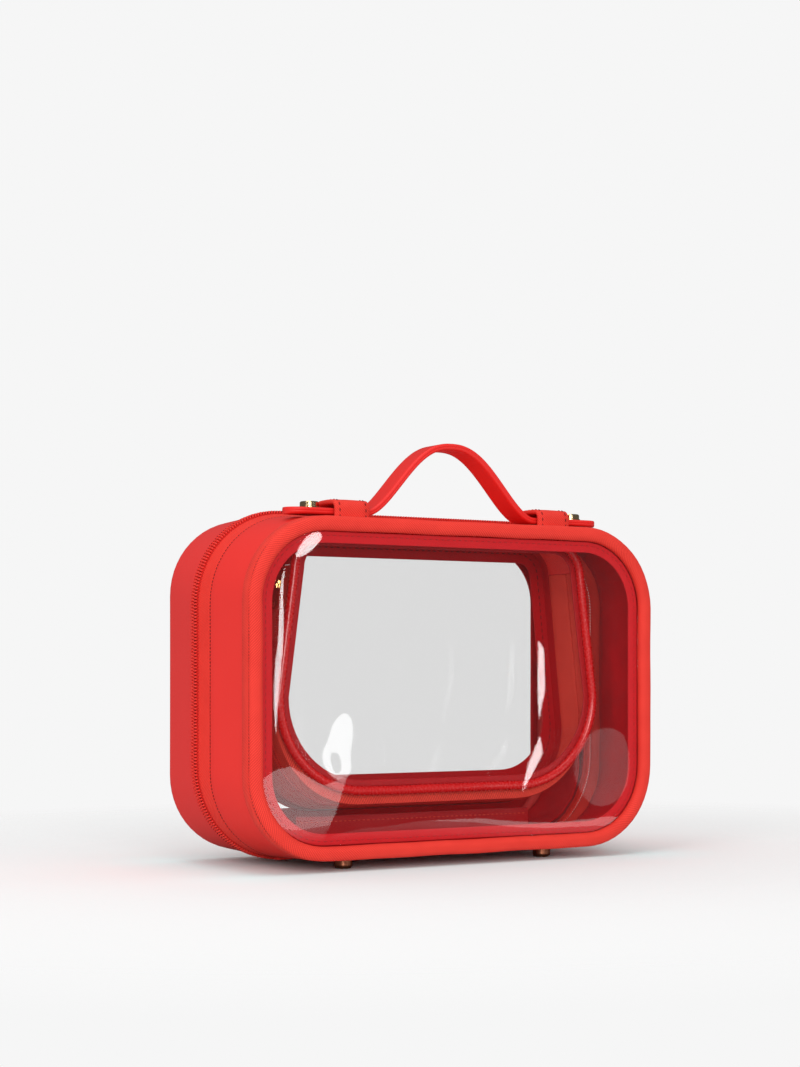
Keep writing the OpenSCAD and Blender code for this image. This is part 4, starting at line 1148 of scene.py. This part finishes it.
def floor_finish():
    """Pale, and see-through away from the case, so that it runs into the backdrop. Near
    the case it is cooler, which takes up the red light that the walls throw on it, and
    mirrors see it dark."""
    f = Finish("floor")
    x, y, _ = f.split(f.node("TexCoord", None, None, "Object"))
    reach = ((x / FLOOR_HALF_X) ** 2 + (y / FLOOR_HALF_Y) ** 2) ** 0.5
    solid_share = (1.75 - reach * 1.25).clamped()
    past_x = (x.size() - cad_high[0] + COOL_INSET).math("MAXIMUM", 0)
    past_y = (y.size() - cad_high[1] + COOL_INSET).math("MAXIMUM", 0)
    far = (past_x ** 2 + past_y ** 2) ** 0.5
    cooled = (1 - far / COOL_REACH).clamped() ** COOL_POWER
    tone = f.mix(cooled, FLOOR_PALE, COOL_FLOOR)
    mirrored = f.node("LightPath", None, None, "Is Glossy Ray")
    tone = f.mix(mirrored * MIRRORED_SHARE, tone, MIRRORED_FLOOR)
    pale = f.node("BsdfDiffuse", None, {"Color": tone})
    nothing = f.node("BsdfTransparent", None, {"Color": (1, 1, 1, 1)})
    return f.end(f.node("MixShader", None, {0: solid_share, 1: nothing, 2: pale}))


def lay_floor():
    r = FLOOR_REACH
    mesh = bpy.data.meshes.new("floor")
    mesh.from_pydata([(-r, -r, 0), (r, -r, 0), (r, r, 0), (-r, r, 0)], [], [(0, 1, 2, 3)])
    floor = bpy.data.objects.new("floor", mesh)
    bpy.context.scene.collection.objects.link(floor)
    mesh.materials.append(floor_finish())


def studio_world():
    """Even light, a plain pale backdrop for the camera, and a dim one for mirrors."""
    world = bpy.data.worlds.new("studio")
    bpy.context.scene.world = world
    world.use_nodes = True
    tree = world.node_tree
    tree.nodes.clear()
    path_kind = tree.nodes.new("ShaderNodeLightPath")

    def background(colour, level):
        made = tree.nodes.new("ShaderNodeBackground")
        made.inputs["Color"].default_value = colour
        made.inputs["Strength"].default_value = level
        return made.outputs[0]

    def either(kind, others, when):
        """Shows one background to rays of a kind and another to the rest."""
        made = tree.nodes.new("ShaderNodeMixShader")
        tree.links.new(path_kind.outputs[kind], made.inputs[0])
        tree.links.new(others, made.inputs[1])
        tree.links.new(when, made.inputs[2])
        return made.outputs[0]

    backdrop = background(BACKDROP, 1.0)
    sky = either("Is Glossy Ray", background((1, 1, 1, 1), WORLD_LEVEL),
                 background((1, 1, 1, 1), MIRRORED_LEVEL))
    sky = either("Is Transmission Ray", either("Is Camera Ray", sky, backdrop), backdrop)
    tree.links.new(sky, tree.nodes.new("ShaderNodeOutputWorld").inputs[0])


def lamp(name, place, aim, size, power):
    """A flat lamp that shines from its place towards its aim."""
    light = bpy.data.lights.new(name, "AREA")
    light.shape, light.size, light.size_y, light.energy = "RECTANGLE", *size, power
    holder = bpy.data.objects.new(name, light)
    bpy.context.scene.collection.objects.link(holder)
    holder.location = place
    holder.rotation_euler = (Vector(aim) - Vector(place)).to_track_quat("-Z", "Y").to_euler()


lay_floor()
studio_world()
CASE_MIDDLE = (0, 0, 0.08)
lamp("overhead", (-0.3, -0.2, 1.8), CASE_MIDDLE, (1.3, 1.3), 9.5)
lamp("left_box", (-1.6, -0.9, 0.9), CASE_MIDDLE, (0.7, 1.1), 7.5)
lamp("front_box", (-0.6, -2.0, 0.7), CASE_MIDDLE, (0.9, 0.6), 11)
lamp("low_box", (-0.75, -1.3, 0.22), (0.05, 0, 0.09), (0.25, 0.25), 3)


# Cards that the clear front mirrors. Each is drawn as it shows in the mirror: its
# points stand CARD_FAR in front of the lens, and are listed to the right of and above
# the lens in millimetres for each metre of that distance.
CARD_FAR = 1150.0
MIRROR_Y = -43.0


def card_finish(name, level):
    """Plain light of that level."""
    f = Finish(name)
    return f.end(f.node("Emission", None, {"Color": (1, 1, 1, 1), "Strength": level}))


def card_stands(right, up):
    """Where a card's point stands, so that the clear front mirrors it at this place."""
    turn = math.radians(-CAMERA_HEADING)
    right, up = right * CARD_FAR / 1000, up * CARD_FAR / 1000
    x = CAMERA_AT[0] + CARD_FAR * math.sin(turn) + right * math.cos(turn)
    y = CAMERA_AT[1] + CARD_FAR * math.cos(turn) - right * math.sin(turn)
    return x * MM, (2 * MIRROR_Y - y) * MM, (CAMERA_AT[2] + up) * MM


def mirrored_card(name, outer, level, inner=None):
    """A flat lamp that only mirrors see; inner, with as many points as outer, is a hole."""
    points = [card_stands(*p) for p in outer]
    n = len(points)
    faces = [tuple(range(n))]
    if inner:
        points += [card_stands(*p) for p in inner]
        faces = [(i, (i + 1) % n, n + (i + 1) % n, n + i) for i in range(n)]
    mesh = bpy.data.meshes.new(name)
    mesh.from_pydata(points, [], faces)
    mesh.materials.append(card_finish(name, level))
    card = bpy.data.objects.new(name, mesh)
    bpy.context.scene.collection.objects.link(card)
    card.visible_camera = card.visible_diffuse = card.visible_transmission = card.visible_shadow = False


def blob(right, up, wide, tall, lean=0.0, tip=0.0, tip_way=0.0):
    """An ellipse, optionally drawn out to a tip; lean and tip_way are in degrees."""
    points = []
    for a in np.linspace(0, 2 * math.pi, 48, endpoint=False):
        out = 1 + tip * max(0.0, math.cos(a - math.radians(tip_way))) ** 7
        u, v = wide * math.cos(a) * out, tall * math.sin(a) * out
        c, s = math.cos(math.radians(lean)), math.sin(math.radians(lean))
        points.append((right + u * c - v * s, up + u * s + v * c))
    return points


mirrored_card("drop_card", blob(-32, -45, 7, 9.5, tip=1.5, tip_way=69), 5, blob(-33, -46, 2.6, 5))
mirrored_card("low_left_card", [(-80, -60), (-56, -50), (-40, -58), (-28, -52), (-33, -66), (-38, -83),
                                (-41, -103), (-80, -103)], 2.6)
mirrored_card("low_card", [(-35, -85), (-10, -82), (17, -79), (60, -76), (100, -75), (133, -74),
                           (133, -103), (-35, -103)], 2.2)
mirrored_card("right_card", blob(103, -49, 16, 20), 0.9)
mirrored_card("almond_card", blob(-47, 66, 8, 2.7, lean=27), 13)
mirrored_card("left_sliver", [(-62, 56), (-60, 48), (-61, 15), (-62, -15), (-63, -33),
                              (-64.5, -15), (-64, 25)], 12)
mirrored_card("fold_sliver", [(71, 15), (74, 10), (75, -10), (72.5, -25), (71.5, -10)], 13)
mirrored_card("low_fold_sliver", [(72.5, -33), (67.5, -46), (64.5, -61), (68.5, -53),
                                  (73.5, -41)], 13)
mirrored_card("top_sliver", [(104, 66), (110, 62), (113, 58), (108, 61)], 12)
